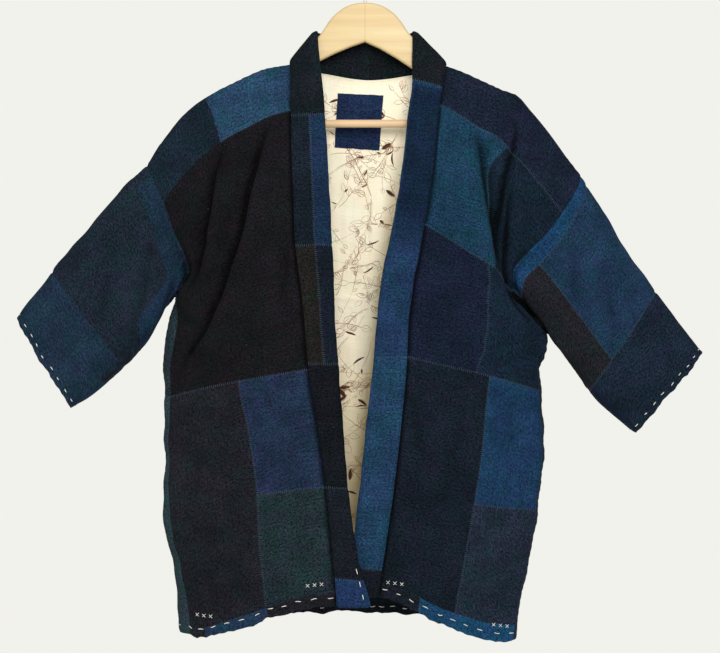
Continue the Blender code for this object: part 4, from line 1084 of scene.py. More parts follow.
def makeHalf(key, half, patches, creases, sleeveLines, seed):
    flip, underarm = key == "left", jacket["underarm"]
    down = refine(downLines, np.diff(downLines) * jacket["tall"], seamDown)
    across = refine(acrossLines, np.diff(acrossLines) * jacket["wide"], seamAcross)
    neckRows = sorted(-line for line in neckLines) + [0]
    neck = refine(neckRows, np.diff(neckRows) * jacket["neckWide"], (-1, 0))
    behind = np.concatenate((neck[:-1], across))
    above, below = down[down <= underarm + 1e-9], down[down >= underarm - 1e-9]
    turns = np.concatenate((above / underarm, [1.25, 1.5, 1.75, 2], 3 - above[::-1][1:] / underarm))
    lines = refine(range(8), np.diff([row[2] for row in sleeveLines]) * jacket["armLong"], seamCuffward)
    panels = [lay(half.front, across, down, flip, patches[0], creases[0], "front"),
              lay(half.back, behind, down, not flip, patches[1], creases[1], "back"),
              lay(half.gusset, np.array((-1, -.5, 0, .5, 1)), below, flip, patches[2], (), "side"),
              lay(half.cuffward, turns, lines, not flip, patches[3], creases[2], "sleeve")]
    moved, seams, wear = shape(weld(panels), panels, seed)
    normals, squeeze = outward(moved, panels)
    # the two halves' walls meet at the centre back
    normals[panels[1]["index"].reshape(panels[1]["shape"])[0], 0] = 0
    inward = unit(normals) / squeeze[:, None]
    # the sleeve's wall thins where its front and back come together
    wall, arm = np.full(len(moved), jacket["wall"]), panels[3]
    grid = moved[arm["index"]].reshape(*arm["shape"], 3)
    room = .4 * np.linalg.norm(grid - grid[::-1], axis=2) + 9 * (abs(arm["a"] - 1.5) > .95)[:, None]
    wall[arm["index"]] = np.clip(room, .4, jacket["wall"]).ravel()
    inner = moved - inward * wall[:, None]
    lowest = [panel["index"].reshape(panel["shape"])[:, -1] for panel in panels]
    freeKeys = np.concatenate([edgeKeys(row[:-1], row[1:]) for row in lowest])
    for panel in panels:
        for n, (node, *_) in enumerate(panel["patches"]):
            mine = panel["cells"][panel["owner"] == n]
            if not len(mine):
                continue
            cloth = clothOf(node)
            lined = cloth if any(word in node for word in unlined) else liningCotton
            sewPiece(node, panel["index"][mine], panel["uv"][mine], moved, inner, wear, freeKeys,
                     (cloth, lined), gap=0.0 if "_back_" in node else jacket["seamGap"],
                     turned=(panel["down"][mine[:, 0]] < .9) & (panel["name"] == "sleeve"))
            panelOf[node] = key + panel["name"]
    cells = cellsOf(panels)
    halves[key] = {"half": half, "panels": panels, "points": moved, "inner": inner, "inward": inward,
                   "seams": seams, "skin": outerFaces(moved, cells),
                   "inside": outerFaces(inner, cells[:, ::-1])}
    print(key, "half:", len(moved), "points,", len(cells), "cells,", len(seams), "seams")


rightHalf = Half(rightLevels, rightAcross, rightFree, rightSleeve, rightSleeveLines,
                 rightFrontFolds, rightBackFolds)
leftHalf = Half(leftLevels, leftAcross, leftFree, leftSleeve, leftSleeveLines,
                leftFrontFolds, leftBackFolds)
makeHalf("right", rightHalf, (rightFrontPatches, rightBackPatches, rightGussetPatches, rightSleevePatches),
         (rightFrontCreases, rightBackCreases, rightSleeveCreases), rightSleeveLines, 1)
makeHalf("left", leftHalf, (leftFrontPatches, leftBackPatches, leftGussetPatches, leftSleevePatches),
         (leftFrontCreases, leftBackCreases, leftSleeveCreases), leftSleeveLines, 2)

# the band collar: a padded strip from each hem up round the neck
band = {"shares": (0, .02, .045, .07, .11, .17, .24, .30, .36, .42, .47, .505, .523, .54, .557, .575, .62,
                   .68, .74, .80, .85, .9, .935, .965, .985, 1),
        "lump": .5, "ripple": .3, "nub": .25, "notch": .9,
        # painted shade along each collar, by place along it
        "shade": {"right": ((0, 0), (1.1, 0), (1.35, .2), (2, .2)),
                  "left": ((0, 0), (.66, 0), (.78, .75), (.93, .75), (.96, 0), (1.1, 0), (1.35, .2),
                           (2, .2))}}


def makeBand(key, patches):
    laid, half = halves[key], halves[key]["half"]
    front, back = laid["panels"][0], laid["panels"][1]
    edge = laid["points"][front["index"].reshape(front["shape"])[0]]
    seam, free, places = [], [], []
    for n in reversed(range(len(front["b"]))):
        down = front["b"][n]
        seam.append(edge[n])
        free.append((half.free["x"](down), edge[n][1] + half.free["set_back"](down), half.free["z"](down)))
        places.append(1 - down)
    neck = curves(behindNames, bandBehind)
    top = laid["points"][back["index"].reshape(back["shape"])[:, 0]]
    for n in reversed(np.flatnonzero(back["a"] < -1e-9)):
        behind = -back["a"][n]
        freeX = blend(half.free["x"](0), jacket["centreX"], neck["x_share"](behind))
        seam.append(top[n] - (0, 0, .6))
        free.append((freeX, neck["y"](behind), neck["z"](behind)))
        places.append(1 + behind)
    seam, free, places = np.array(seam), np.array(free, float), np.array(places)
    path = np.gradient((seam + free) / 2, axis=0)
    path[-1] = (-half.way, 0, 0)
    normal = unit(np.cross(path, free - seam) * half.way)
    for _ in range(6):
        normal[1:-1] = (normal[:-2] + 2 * normal[1:-1] + normal[2:]) / 4
        normal = unit(normal)
    shares = np.array(band["shares"])
    rows, wide = len(places), len(shares)
    sink = (jacket["bandHalf"] - jacket["bandProud"]) * np.minimum(1, .5 + 4 * shares)
    middle = blend(seam[:, None], free[:, None], shares[None, :, None])
    middle = middle + normal[:, None] * sink[None, :, None]
    middle[-1, :, 0] = jacket["centreX"]
    cells, i, j = quads(rows, wide, key == "right")
    owner = ownersOf(patches, middles(shares, j), middles(places, i))
    flat, facing = middle.reshape(-1, 3), np.repeat(normal, wide, axis=0)
    seams = seamRuns(cells, owner, [row[0] for row in patches])
    marked = sorted({at for _, run in seams for at in run}) + list(range((rows - 1) * wide, rows * wide))
    away, _ = nearest(flat, flat[marked])
    push = -relief["seamDip"] * .9 * bell(away, relief["seamWidth"])
    push += band["lump"] * lumps(flat, 34, 21) + band["ripple"] * lumps(flat, 12, 22)
    push += band["nub"] * lumps(flat, 7, 23) * np.exp(-away / 10)
    rise = np.tile(np.minimum(1, shares * 12), rows)
    notch = band["notch"] * lumps(flat * (.3, .3, 1), 22, 24)
    flat = flat + np.repeat(unit(free - seam), wide, axis=0) * (
        notch * np.tile(shares ** 4, rows) * (np.arange(rows * wide) < (rows - 1) * wide))[:, None]
    thick = np.tile(curve(list(zip(bandLines, bandShape)), 1)(shares), rows)
    outer = flat + facing * (thick + push * rise)[:, None]
    inner = flat - facing * (thick + .4 * push * rise)[:, None]
    wear = np.clip(np.exp(-away / 2.4) + .9 * np.tile(bell(1 - shares, .05), rows), 0, 1)
    shade = curve(band["shade"][key], 1)(places)        # painted shade: stretches darkened up behind the neck and high on the left collar
    wear = np.clip(wear - np.repeat(shade, wide), -1, 1)
    width = np.linalg.norm(free - seam, axis=1)
    length = placesOn(middle[:, wide // 2])
    uv = np.stack((shares[None] * width[:, None], np.repeat(length[:, None], wide, 1)), -1)
    uv = uv.reshape(-1, 2) * mm
    ends, start = np.arange(rows) * wide + wide - 1, np.arange(wide)
    freeKeys = np.concatenate((edgeKeys(ends[:-1], ends[1:]), edgeKeys(start[:-1], start[1:])))
    for n, (node, *_) in enumerate(patches):
        mine, cloth = cells[owner == n], clothOf(node)
        sewPiece(node, mine, uv[mine], outer, inner, wear, freeKeys, (cloth, cloth),
                 gap=0.0 if node.endswith("top") else jacket["seamGap"])
        panelOf[node] = key + "band"
    laid["band"] = {"points": outer, "seams": seams, "skin": outerFaces(outer, cells),
                    "rows": rows, "wide": wide, "places": places}
    print(key, "collar:", len(cells), "cells,", len(seams), "seams")


makeBand("right", rightBandPatches)
makeBand("left", leftBandPatches)

# the back's lining: soft pleats, with painted shade low down in the narrow opening and a painted shadow
# beside the left collar
liningPleats = ((5, 2.2, ((-30, -290), (-25, -340), (-27, -400), (-22, -470))),
                (4, 1.8, ((-12, -310), (-14, -380), (-9, -440))),
                (5, 2.0, ((8, -350), (12, -420), (8, -490), (12, -560))),
                (6, 2.0, ((24, -300), (20, -370), (22, -430))),
                (5, 2.2, ((-24, -500), (-18, -590), (-20, -680))),
                (4, 1.6, ((-4, -520), (-8, -620), (-10, -700))))
liningShade = {"low": .45, "from": 520, "over": 300, "edge": .42, "edgeLine": ((54, -230), (-13, -790)),
               "reach": 10, "edgeFrom": 270, "edgeOver": 120}


def makeLining(key):
    laid, shade = halves[key], liningShade
    back, points = laid["panels"][1], laid["points"]
    outerA = back["a"][back["column"] + 1]
    start = np.where(outerA < -.119, jacket["liningTop"], jacket["liningShoulder"])
    keep = ((outerA < jacket["liningSide"]) & (back["b"][back["row"] + 1] < jacket["liningFoot"] + 1e-6)
            & (back["b"][back["row"]] > start - 1e-6))
    cells = back["index"][back["cells"]][keep]
    x, _, z = points.T
    ripple = .7 + .7 * lumps(points * (1, 1, .35), 36, 31) + .35 * lumps(points, 17, 32)
    for width, high, line in liningPleats:
        gap, share = nearLine(line, x, z)
        ripple += high * np.sin(np.pi * np.clip(share, .02, .98)) * bell(gap, width)
    ripple = np.clip(ripple, 0, 3) * (1 - bell(x - jacket["centreX"], 2.2))
    # painted shade: darker towards the bottom, and a painted shadow in a band beside the left collar's edge,
    # passed to the cloth below 0
    gap, _ = nearLine(shade["edgeLine"], x, z)
    deep = (shade["low"] * np.clip((-z - shade["from"]) / shade["over"], 0, 1) + shade["edge"]
            * bell(gap, shade["reach"]) * np.clip((-z - shade["edgeFrom"]) / shade["edgeOver"], 0, 1))
    lift = jacket["wall"] + jacket["liningLift"]
    near = points - laid["inward"] * (lift + ripple)[:, None]
    far = points - laid["inward"] * (lift + ripple + jacket["liningWall"])[:, None]
    uv = back["uv"][back["cells"][keep]]
    # the visible face points at the wearer, so the far side is the outside here
    sewPiece("lining_" + key, cells[:, ::-1], uv[:, ::-1], far, near, -deep, np.array([-1]),
             (liningCotton, liningCotton), gap=0.0)
    laid["lining"] = outerFaces(far, cells[:, ::-1])
    print(key, "lining:", len(cells), "cells")


makeLining("right")
makeLining("left")


def onLining(x, z):
    # the lining's face behind one (x, z) in millimetres, or None
    laid = halves["right" if x < jacket["centreX"] else "left"]["lining"]
    hit, normal, *_ = laid.ray_cast(Vector((x * mm, -.2, z * mm)), Vector((0, 1, 0)))
    return None if hit is None else np.array(hit) / mm


label = {"corners": ((-38.5, -185.5), (26, -188.5), (20.5, -266), (-43, -262)), "cut": (.062, .075),
         "thick": .8, "wide": 26, "tall": 30, "off": .12, "hemDip": .35, "hemIn": .055}


def makeLabel():
    wide, tall = label["wide"], label["tall"]
    topLeft, topRight, lowRight, lowLeft = (np.array(spot, float) for spot in label["corners"])
    outer, inner, uv = [], [], []
    for n in range((wide + 1) * (tall + 1)):
        a, b = n // (tall + 1) / wide, n % (tall + 1) / tall
        spot = blend(blend(topLeft, topRight, a), blend(lowLeft, lowRight, a), b)
        rim = min(a, 1 - a, b, 1 - b)
        if rim < .001:
            spot = spot + .5 * np.array((noise.noise(Vector((b * 6, a * 2, 3))),
                                         noise.noise(Vector((a * 6, b * 2, 5)))))
        hit = onLining(*spot)
        lift = .25 + .55 * min(1, rim * 14) + .5 * noise.noise(Vector((a * 4, b * 5, 9))) * min(1, rim * 6)
        dip = label["hemDip"] * math.exp(-((rim - label["hemIn"]) / .02) ** 2)
        inner.append(hit - (0, label["off"], 0))
        outer.append(hit - (0, label["off"] + label["thick"] + lift - dip, 0))
        uv.append((a * label["cut"][0], -b * label["cut"][1]))
    cells, _, _ = quads(wide + 1, tall + 1, True)
    cells = np.roll(cells, 1, axis=1)
    cloth = clothOf("label")
    sewPiece("label", cells, np.array(uv)[cells], np.array(outer), np.array(inner), np.zeros(len(outer)),
             np.array([-1]), (cloth, cloth))
    print("label laid on the lining")


makeLabel()


def strips(name, paths, normals, wide, high, sides, material):
    # many thin closed strips in one mesh, for threads and printed lines: paths and normals are
    # (strips, stations, 3), wide and high are half sizes for each station
    paths, normals = np.asarray(paths, float), np.asarray(normals, float)
    wide = np.broadcast_to(wide, paths.shape[:2])[..., None, None]
    high = np.broadcast_to(high, paths.shape[:2])[..., None, None]
    ahead = np.gradient(paths, axis=1)
    side = unit(np.cross(ahead, normals))
    up = unit(np.cross(side, ahead))
    turn = 2 * math.pi * (np.arange(sides) + .5) / sides
    ring = (paths[:, :, None] + side[:, :, None] * wide * np.cos(turn)[None, None, :, None]
            + up[:, :, None] * high * np.sin(turn)[None, None, :, None])
    count, stations = paths.shape[:2]
    base = (np.arange(count) * stations * sides)[:, None, None]
    s = (np.arange(stations - 1) * sides)[None, :, None]
    k = np.arange(sides)[None, None, :]
    n = (k + 1) % sides
    quad = np.stack((base + s + k, base + s + n, base + s + sides + n, base + s + sides + k), -1)
    start = base[:, 0] + np.arange(sides)[None, ::-1]
    end = base[:, 0] + (stations - 1) * sides + np.arange(sides)[None]
    faces = quad.reshape(-1, 4).tolist() + start.tolist() + end.tolist()
    made = meshObject(name, ring.reshape(-1, 3), faces, None, None, None, (material,), 80)
    shell = bmesh.new()
    shell.from_mesh(made.data)
    if shell.calc_volume(signed=True) < 0:
        bmesh.ops.reverse_faces(shell, faces=shell.faces[:])
        shell.to_mesh(made.data)
    shell.free()


def onSkin(skin, point):
    hit, normal, *_ = skin.find_nearest(Vector(point) * mm)
    return np.array(hit) / mm, np.array(normal)


def spotsAt(line, places, at):
    return np.stack([np.interp(at, places, line[:, n]) for n in range(3)], -1)


whip = {"every": 2.9, "first": 1.5, "reach": 2.2, "raise": .2, "sink": .12,
        "wide": (.09, .3, .3, .09), "high": (.08, .15, .15, .08),
        "never": ("right_sleeve", "outer_shoulder")}


def whipSeams(key):
    # short overcast stitches across every seam between patches, not across the hem bands
    laid = halves[key]
    rng = np.random.default_rng(4 if key == "right" else 5)
    paths, normals = [], []
    for source in (laid, laid["band"]):
        for (one, two), run in source["seams"]:
            if panelOf[one] != panelOf[two] or ("hem" in one) != ("hem" in two) or len(run) < 3:
                continue
            if any(word in name for word in whip["never"] for name in (one, two)):
                continue
            line = source["points"][run]
            places = placesOn(line)
            at = np.arange(whip["first"], places[-1], whip["every"])
            ways = unit(spotsAt(line, places, at + .6) - spotsAt(line, places, at - .6))
            for spot, way in zip(spotsAt(line, places, at), ways):
                _, normal = onSkin(source["skin"], spot)
                across = np.cross(normal, way) + way * rng.uniform(-.25, .25)
                across /= np.linalg.norm(across)
                reach = whip["reach"] * rng.uniform(.8, 1.15)
                side = rng.uniform(-.35, .35)
                path, facing = [], []
                for share in (-1, -.4, .4, 1):
                    up = whip["raise"] if abs(share) < 1 else -whip["sink"]
                    hit, facingHere = onSkin(source["skin"], spot + across * reach * (share + side * .4))
                    path.append(hit + facingHere * up)
                    facing.append(facingHere)
                paths.append(path)
                normals.append(facing)
    strips(key + "WhipStitches", paths, normals, whip["wide"], whip["high"], 4, whipThread)
    print(key, "whip stitches:", len(paths))


running = {"every": 22.0, "long": 8.0, "hemAway": 11.0, "cuffAway": 6.5, "backAway": 8.0, "cuffEvery": .82,
           "cuffLong": .72, "backEvery": .7, "edgeEvery": 17.0, "edgeLong": 7.8,
           "edges": {"right": ((.865, .008, .1),), "left": ()},       # share across the collar, from, to
           "wide": (.26, .5, .62, .62, .5, .26), "high": (.15, .3, .36, .36, .3, .15)}


def insetLine(grid, away):
    # the line this far from the last row of a grid of points
    return np.array([[np.interp(-away, -row, column[:, n]) for n in range(3)]
                     for column, row in zip(grid, toEnd(grid))])


def runningStitches(key):
    # white dashes round the hem and the cuff, inside the back hem, and up the collar's free edge
    laid = halves[key]
    paths, normals = [], []

    def dashes(line, skin, every, long, rng):
        places = placesOn(line)
        at = 4.0
        while at + long < places[-1]:
            size = long * rng.uniform(.8, 1.15)
            drift = rng.uniform(-.5, .5)
            path, facing = [], []
            for share, up in ((0, -.35), (.12, .3), (.37, .5), (.63, .5), (.88, .3), (1, -.35)):
                spot = spotsAt(line, places, at + share * size)
                hit, normal = onSkin(skin, spot + (0, 0, drift * (share - .5)))
                path.append(hit + normal * up)
                facing.append(normal)
            paths.append(path)
            normals.append(facing)
            at += every * rng.uniform(.84, 1.18)

    rng = np.random.default_rng(14 if key == "right" else 15)
    front, back, side, sleeve = (laid["points"][panel["index"]].reshape(*panel["shape"], 3)
                                 for panel in laid["panels"])
    hem = np.concatenate([insetLine(front, running["hemAway"]), insetLine(side, running["hemAway"])[1:-1],
                          insetLine(back, running["hemAway"])[::-1]])
    dashes(hem, laid["skin"], running["every"], running["long"], rng)
    dashes(insetLine(sleeve, running["cuffAway"]), laid["skin"], running["every"] * running["cuffEvery"],
           running["long"] * running["cuffLong"], rng)
    within = laid["inner"][laid["panels"][1]["index"]].reshape(back.shape)
    dashes(insetLine(within, running["backAway"]), laid["inside"], running["every"] * running["backEvery"],
           running["long"], rng)
    edge = laid["band"]
    grid = edge["points"].reshape(edge["rows"], edge["wide"], 3)
    rng = np.random.default_rng(24)
    for share, lo, hi in running["edges"][key]:
        column = int(np.argmin(abs(np.array(band["shares"]) - share)))
        rows = np.flatnonzero((edge["places"] >= lo) & (edge["places"] <= hi))
        dashes(grid[rows, column], edge["skin"], running["edgeEvery"], running["edgeLong"], rng)
    strips(key + "RunningStitches", paths, normals, running["wide"], running["high"], 6, whiteThread)
    print(key, "running stitches:", len(paths))


whiteThread = plainThread("whiteCottonThread", (.86, .85, .80))
whipThread = plainThread("greyBlueThread", (.062, .098, .145))
for key in ("right", "left"):
    whipSeams(key)
    runningStitches(key)

# rows of small crosses worked by hand: half, (x, z) of the row's middle, its slope, how many
crosses = {"rows": (("right", (-222, -913), -.06, 3), ("right", (-69, -868), .10, 3),
                    ("left", (41, -868), -.12, 3), ("left", (187, -928), -.14, 3)),
           "arm": 3.4, "every": 9.5,
           "wide": (.2, .38, .42, .42, .38, .2), "high": (.15, .26, .3, .3, .26, .15)}


def workCrosses():
    paths, normals = [], []
    for key, (x, z), slope, count in crosses["rows"]:
        for place in (np.arange(count) - (count - 1) / 2) * crosses["every"]:
            for turn in (math.pi / 4, -math.pi / 4):
                way = np.array((math.cos(turn), 0, math.sin(turn)))
                path, facing = [], []
                for share, up in ((-1, -.3), (-.75, .25), (-.25, .45), (.25, .45), (.75, .25), (1, -.3)):
                    spot = np.array((x + place, -80.0, z + place * slope)) + way * share * crosses["arm"]
                    hit, normal, *_ = halves[key]["skin"].ray_cast(Vector(spot) * mm, Vector((0, 1, 0)))
                    lift = up + (.25 if turn < 0 < up else 0)       # the second arm lies over the first
                    path.append(np.array(hit) / mm + np.array(normal) * lift)
                    facing.append(np.array(normal))
                paths.append(path)
                normals.append(facing)
    strips("workedCrosses", paths, normals, crosses["wide"], crosses["high"], 6, whiteThread)
    print("crosses:", len(paths) // 2)


workCrosses()

# the lining's print: loose twigs with leaves, a generic pattern
twigs = {"count": 150, "stem": (34, 90), "shoots": (3, 7), "line": .30, "leaf": (6, 17), "filled": .10,
         "sides": (-88, 94), "from": -178, "down": 700,
         "blots": 34, "blot": (7, 20), "blotSides": (-70, 90), "blotFrom": -185, "blotDown": 690,
         "high": .13, "leafHigh": .14, "off": .10, "seed": 8}
brownInk = plainThread("brownPrintInk", (.29, .12, .065), .85)
darkInk = plainThread("darkPrintInk", (.085, .036, .022), .85)


def stroke(points, count=9):
    # a pen line laid on the lining, resampled to the given number of places
    points = np.array(points, float)
    places = np.concatenate(([0], np.cumsum(np.hypot(*np.diff(points, axis=0).T))))
    at = np.linspace(0, places[-1], count)
    path = []
    for x, z in zip(np.interp(at, places, points[:, 0]), np.interp(at, places, points[:, 1])):
        hit = onLining(x, z)
        if hit is None:
            return None
        path.append(hit - (0, twigs["off"], 0))
    return path if np.abs(np.diff(np.array(path)[:, 1])).max() < 3 else None


def printLining():
    rng = np.random.default_rng(twigs["seed"])
    lines, leaves = [], []

    def leafAt(x, z, turn, size):
        side = size * rng.uniform(.16, .3)
        way, off = np.array((math.cos(turn), math.sin(turn))), np.array((-math.sin(turn), math.cos(turn)))
        base = np.array((x, z))
        for sign in (-1, 1):
            lines.append(stroke([base + way * size * u + off * sign * side * math.sin(math.pi * u ** .8)
                                 for u in np.linspace(0, 1, 7)]))
        if rng.uniform() < twigs["filled"]:
            leaves.append((stroke([base + way * size * u for u in np.linspace(.04, .96, 7)]), side))
        elif rng.uniform() < .5:
            lines.append(stroke([base + way * size * u for u in (0, .3, .75)]))

    for n in range(twigs["count"]):
        level = (n + rng.uniform(0, 1)) / twigs["count"]
        x, z = rng.uniform(*twigs["sides"]), twigs["from"] - twigs["down"] * level
        turn = rng.uniform(0, 2 * math.pi)
        length, steps = rng.uniform(*twigs["stem"]), 8
        stem, drift = [(x, z)], rng.uniform(-.16, .16)
        for _ in range(steps):
            turn += drift + rng.uniform(-.14, .14)
            x, z = x + length / steps * math.cos(turn), z + length / steps * math.sin(turn)
            stem.append((x, z))
        lines.append(stroke(stem[:5]))
        lines.append(stroke(stem[4:]))
        for k in range(rng.integers(*twigs["shoots"])):
            at = rng.integers(1, steps)
            side = rng.choice((-1, 1))
            leafAt(*stem[at], math.atan2(stem[at + 1][1] - stem[at][1], stem[at + 1][0] - stem[at][0])
                   + side * rng.uniform(.4, 1.1), rng.uniform(*twigs["leaf"]))
        leafAt(*stem[-1], turn, rng.uniform(*twigs["leaf"]) * 1.2)
        if rng.uniform() < .5:      # a second, fainter pass of the pen beside the stem
            lines.append(stroke([(px + rng.uniform(.8, 1.8), pz - rng.uniform(.5, 1.5)) for px, pz in stem]))
    for n in range(twigs["blots"]):      # single dark leaves and twists
        x = rng.uniform(*twigs["blotSides"])
        z = twigs["blotFrom"] - twigs["blotDown"] * (n + rng.uniform(0, 1)) / twigs["blots"]
        size, turn, curl = rng.uniform(*twigs["blot"]), rng.uniform(0, 2 * math.pi), rng.uniform(-1.2, 1.2)
        path = [(x, z)]
        for _ in range(8):
            turn += curl / 8
            path.append((path[-1][0] + size / 8 * math.cos(turn), path[-1][1] + size / 8 * math.sin(turn)))
        leaves.append((stroke(path), size * rng.uniform(.05, .16)))
    lines = [line for line in lines if line]
    leaves = [(line, side) for line, side in leaves if line]
    widths = rng.uniform(.6, 1.5, (len(lines), 1)) * twigs["line"] * np.sin(np.linspace(.5, 2.7, 9))[None]
    fill = np.array([side for _, side in leaves])[:, None] * np.sin(np.linspace(.2, 2.95, 9))[None] * .8
    ahead = np.array((0, -1, 0))
    strips("printedTwigs", lines, np.broadcast_to(ahead, np.shape(lines)), widths, twigs["high"], 4, brownInk)
    filled = [line for line, _ in leaves]
    strips("printedLeaves", filled, np.broadcast_to(ahead, np.shape(filled)), fill, twigs["leafHigh"], 6,
           darkInk)
    print("print:", len(lines), "lines and", len(leaves), "filled leaves")


printLining()

# the hanger: two flat shaped arms joined in the middle, a bar and a wire hook
hanger = {
    "thick": 11.0, "round": 3.4, "barDiameter": 11.0, "barZ": -231.0, "barReach": 183.0, "barEdge": .8,
    "wire": 1.7, "hookRadius": 18.0, "hookTurn": (-50, 200),
    "gap": 5.4,             # from the middle of the cloth down to the wood
    "crown": ((0, -62), (6, -62.2), (12, -63), (18, -64.3), (24, -66.5), (30, -69.4), (35, -73), (41, -77.6),
              (46, -83), (51.5, -89.8), (56, -97), (61, -104.5)),
    "tip": {1: (215, -196), -1: (222, -197)},
    "end": ((-4, -5), (-.5, -8.5), (1, -13), (1.6, -18.5), (1, -24), (-1.4, -30.5), (-5, -36), (-8, -39.2),
            (-12, -41), (-17, -40.9), (-22, -39)),             # out from the tip
    "under": {1: ((190, -230), (156, -206.8), (120, -186), (92, -168.8), (64, -153), (42, -138.7),
                  (20, -126)),
              -1: ((190, -230), (156, -204), (120, -180), (92, -161.2), (64, -144), (42, -133.2),
                   (20, -124))},
    "middle": (0, -117),
    "stem": ((0, -74), (0, -62), (0, -54), (0, -50.5), (.7, -47), (2.6, -43.4), (5.6, -39.6), (9.3, -36.1)),
}


def clearSelection():
    bpy.ops.object.select_all(action="DESELECT")


def curveObject(name, points, flat):
    # one line of points: flat and closed, or open and in space
    clearSelection()
    bpy.ops.curve.primitive_bezier_curve_add(location=(0, 0, 0))
    made = bpy.context.object
    made.name = name
    data = made.data
    data.dimensions = "2D" if flat else "3D"
    data.splines.clear()
    spline = data.splines.new("POLY")
    spline.points.add(len(points) - 1)
    for point, at in zip(spline.points, points):
        point.co = (*(size * mm for size in at), 1)
    spline.use_cyclic_u = flat
    return made


def toMesh(made, node, material):
    clearSelection()
    made.select_set(True)
    bpy.context.view_layer.objects.active = made
    bpy.ops.object.convert(target="MESH")
    made = bpy.context.object
    bpy.ops.object.mode_set(mode="EDIT")
    bpy.ops.mesh.select_all(action="SELECT")
    bpy.ops.mesh.remove_doubles(threshold=1e-5)
    bpy.ops.mesh.normals_make_consistent(inside=False)
    bpy.ops.object.mode_set(mode="OBJECT")
    bpy.ops.object.transform_apply(location=True, rotation=True, scale=True)
    bpy.ops.object.shade_smooth_by_angle(angle=math.radians(35))
    made.data.materials.clear()
    made.data.materials.append(material)
    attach(made, "root")
    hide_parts(node)
    return made


def woodMaterial(name, pale, dark, joint):
    material, tree, shader, place, effect = newMaterial(name, grainGroup, 0, .12, .0002, .45)
    wire(tree, place, effect.inputs["Vector"])
    effect.inputs["Pale"].default_value = (*pale, 1)
    effect.inputs["Dark"].default_value = (*dark, 1)
    if joint:       # the glued joint between the two arms
        parts = tree.nodes.new("ShaderNodeSeparateXYZ")
        wire(tree, place, parts.inputs[0])
        line = ramp(tree, calc(tree, "ABSOLUTE", parts.outputs[0]), .00025, .0006, .45, 0)
        glued = mixed(tree, line, effect.outputs["Color"], (.35, .22, .11, 1))
        wire(tree, glued, shader.inputs["Base Color"])
    return material


def steelMaterial():
    steel, tree, shader, place = blankMaterial("brightWire")
    shader.inputs["Metallic"].default_value = 1.0
    drawn = cloud(tree, mapped(tree, place, (300, 300, 300)), 1.0, 3)
    wire(tree, mixed(tree, drawn, (.62, .62, .60, 1), (.48, .47, .45, 1)), shader.inputs["Base Color"])
    wire(tree, ramp(tree, drawn, .3, .7, .22, .38), shader.inputs["Roughness"])
    return steel


def hangerArm(half, way):
    # one arm's outline from the middle of the crown, over the shoulder and back underneath
    ridge = half.front(np.linspace(0, .5, 16), np.zeros(16))
    tipX, tipZ = hanger["tip"][way]
    line, top = [(way * x, z) for x, _, z in ridge] + [(tipX, tipZ)], []
    for (x, z), (aheadX, aheadZ) in zip(line[:-1], line[1:]):
        dx, dz = aheadX - x, aheadZ - z
        length = math.hypot(dx, dz)
        top.append((x + hanger["gap"] * dz / length, z - hanger["gap"] * dx / length))
    end = [(tipX + x, tipZ + z) for x, z in hanger["end"]]
    return [(way * x, z) for x, z in (*hanger["crown"], *top, *end, *hanger["under"][way])]


def makeHanger():
    line = hangerArm(leftHalf, 1) + [hanger["middle"]] + hangerArm(rightHalf, -1)[::-1][:-1]
    wood = curveObject("hangerWood", [(x, z, 0) for x, z in line], True)
    wood.data.fill_mode = "BOTH"
    wood.data.extrude = (hanger["thick"] / 2 - hanger["round"]) * mm
    wood.data.bevel_depth = hanger["round"] * mm
    wood.data.bevel_resolution = 4
    wood.data.offset = -hanger["round"] * mm
    wood.rotation_euler = (math.pi / 2, 0, 0)
    toMesh(wood, "hanger_wood", woodMaterial("paleMaple", (.725, .580, .315), (.63, .445, .212), True))
    # the bar, its edges rounded where it goes into the arms
    clearSelection()
    bpy.ops.mesh.primitive_cylinder_add(
        vertices=40, radius=hanger["barDiameter"] / 2 * mm, depth=2 * hanger["barReach"] * mm,
        location=(0, 0, hanger["barZ"] * mm), rotation=(0, math.pi / 2, 0))
    bar = bpy.context.object
    bar.name = "hangerBar"
    bpy.ops.object.transform_apply(location=True, rotation=True, scale=True)
    soft = bar.modifiers.new("edges", "BEVEL")
    soft.width, soft.segments, soft.limit_method = hanger["barEdge"] * mm, 2, "ANGLE"
    bpy.ops.object.modifier_apply(modifier="edges")
    toMesh(bar, "hanger_bar", woodMaterial("barBeech", (.84, .61, .37), (.70, .47, .27), False))
    # the hook
    turn, top = hanger["hookRadius"] + hanger["wire"], -hanger["hookRadius"]
    path = [(x, 0, z) for x, z in hanger["stem"]]
    path += [(turn * math.cos(angle), 0, top + turn * math.sin(angle))
             for angle in np.radians(np.linspace(*hanger["hookTurn"], 60))]
    hook = curveObject("hangerHook", path, False)
    hook.data.bevel_depth = hanger["wire"] * mm
    hook.data.bevel_resolution = 5
    hook.data.use_fill_caps = True
    toMesh(hook, "hanger_hook", steelMaterial())
    print("hanger made")


makeHanger()

# what each piece was cut to, flat, in metres: strips cut on a slant, then all others from their cloth
flatCut = {
    "right_hem_dark": (.022, .098), "right_hem_blue": (.020, .092), "right_back_hem": (.022, .254),
    "left_hem_dark": (.024, .059), "left_hem_blue": (.026, .143), "left_back_hem": (.026, .217),
    "right_sleeve_cuff": (.095, .372), "left_sleeve_cuff": (.105, .375), "right_sleeve_dark": (.020, .091),
    "right_sleeve_underarm": (.070, .115), "left_sleeve_olive": (.110, .248)}
for node, made in sheets.items():
    flat = bmesh.new()
    flat.from_mesh(made.data)
    total = sum(face.calc_area() for face in flat.faces) / 2
    flat.free()
    layer = made.data.uv_layers["cloth"].data
    places = np.empty(2 * len(layer))
    layer.foreach_get("uv", places)
    width, length = flatCut.get(node) or sorted(np.ptp(places.reshape(-1, 2), axis=0))
    width, length = round(float(max(width, 1.01 * total / length)), 4), round(float(length), 4)
    print("cut", node, round(width, 3), round(length, 3), round(total, 4))

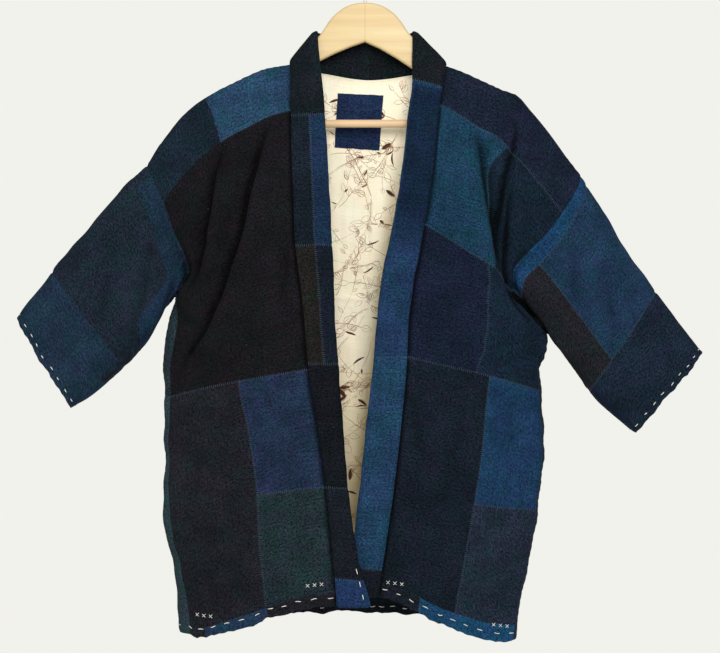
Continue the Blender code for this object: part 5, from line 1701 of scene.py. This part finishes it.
stage = {
    "floorRadius": 2.6, "floorHeight": -1.75, "floor": (.80, .80, .77), "backdrop": (.885, .885, .835),
    "sky": .46, "key": 62.0, "keySize": 1.5, "fill": 11.0, "fillSize": 1.6, "aim": (0, 0, -.5),
    "focal": 82.14, "camera": (-.007, -2.3, -.515)}
clearSelection()
bpy.ops.mesh.primitive_circle_add(vertices=96, radius=stage["floorRadius"], fill_type="NGON",
                                  location=(0, 0, stage["floorHeight"]))
floor = bpy.context.object
floor.name = "paleFloor"
bpy.ops.object.mode_set(mode="EDIT")
bpy.ops.mesh.extrude_region_move(TRANSFORM_OT_translate={"value": (0, 0, -.02)})
bpy.ops.mesh.select_all(action="SELECT")
bpy.ops.mesh.normals_make_consistent(inside=False)
bpy.ops.object.mode_set(mode="OBJECT")
bpy.ops.object.transform_apply(location=True, rotation=True, scale=True)
paint, _, paintShader, _ = blankMaterial("paleFloorPaint")
paintShader.inputs["Base Color"].default_value = (*stage["floor"], 1)
paintShader.inputs["Roughness"].default_value = .8
floor.data.materials.append(paint)

world = bpy.data.worlds.new("paleStudio")
bpy.context.scene.world = world
world.use_nodes = True
sky = world.node_tree.nodes["Background"]
sky.inputs["Color"].default_value = (*stage["backdrop"], 1)
# the backdrop is as pale as it looks, but most of the light on the jacket comes from the lamps
seen = world.node_tree.nodes.new("ShaderNodeLightPath").outputs["Is Camera Ray"]
wire(world.node_tree, ramp(world.node_tree, seen, 0, 1, stage["sky"], 1.0), sky.inputs["Strength"])


def softBox(name, power, size, place, tint):
    data = bpy.data.lights.new(name, "AREA")
    data.energy, data.size, data.color = power, size, tint
    made = bpy.data.objects.new(name, data)
    made.location = place
    made.rotation_euler = (Vector(stage["aim"]) - Vector(place)).to_track_quat("-Z", "Y").to_euler()
    bpy.context.scene.collection.objects.link(made)


softBox("keyLight", stage["key"], stage["keySize"], (.3, -2.6, .6), (1, .985, .95))
softBox("fillLight", stage["fill"], stage["fillSize"], (-2.2, -1.7, -.2), (.95, .98, 1))
cameraData = bpy.data.cameras.new("camera")
cameraData.lens, cameraData.sensor_width = stage["focal"], 36
camera = bpy.data.objects.new("camera", cameraData)
camera.location = stage["camera"]
camera.rotation_euler = (math.pi / 2, 0, 0)
bpy.context.scene.collection.objects.link(camera)
bpy.context.scene.camera = camera
bpy.context.scene.view_settings.view_transform = "Standard"
print("stage, light and camera set")
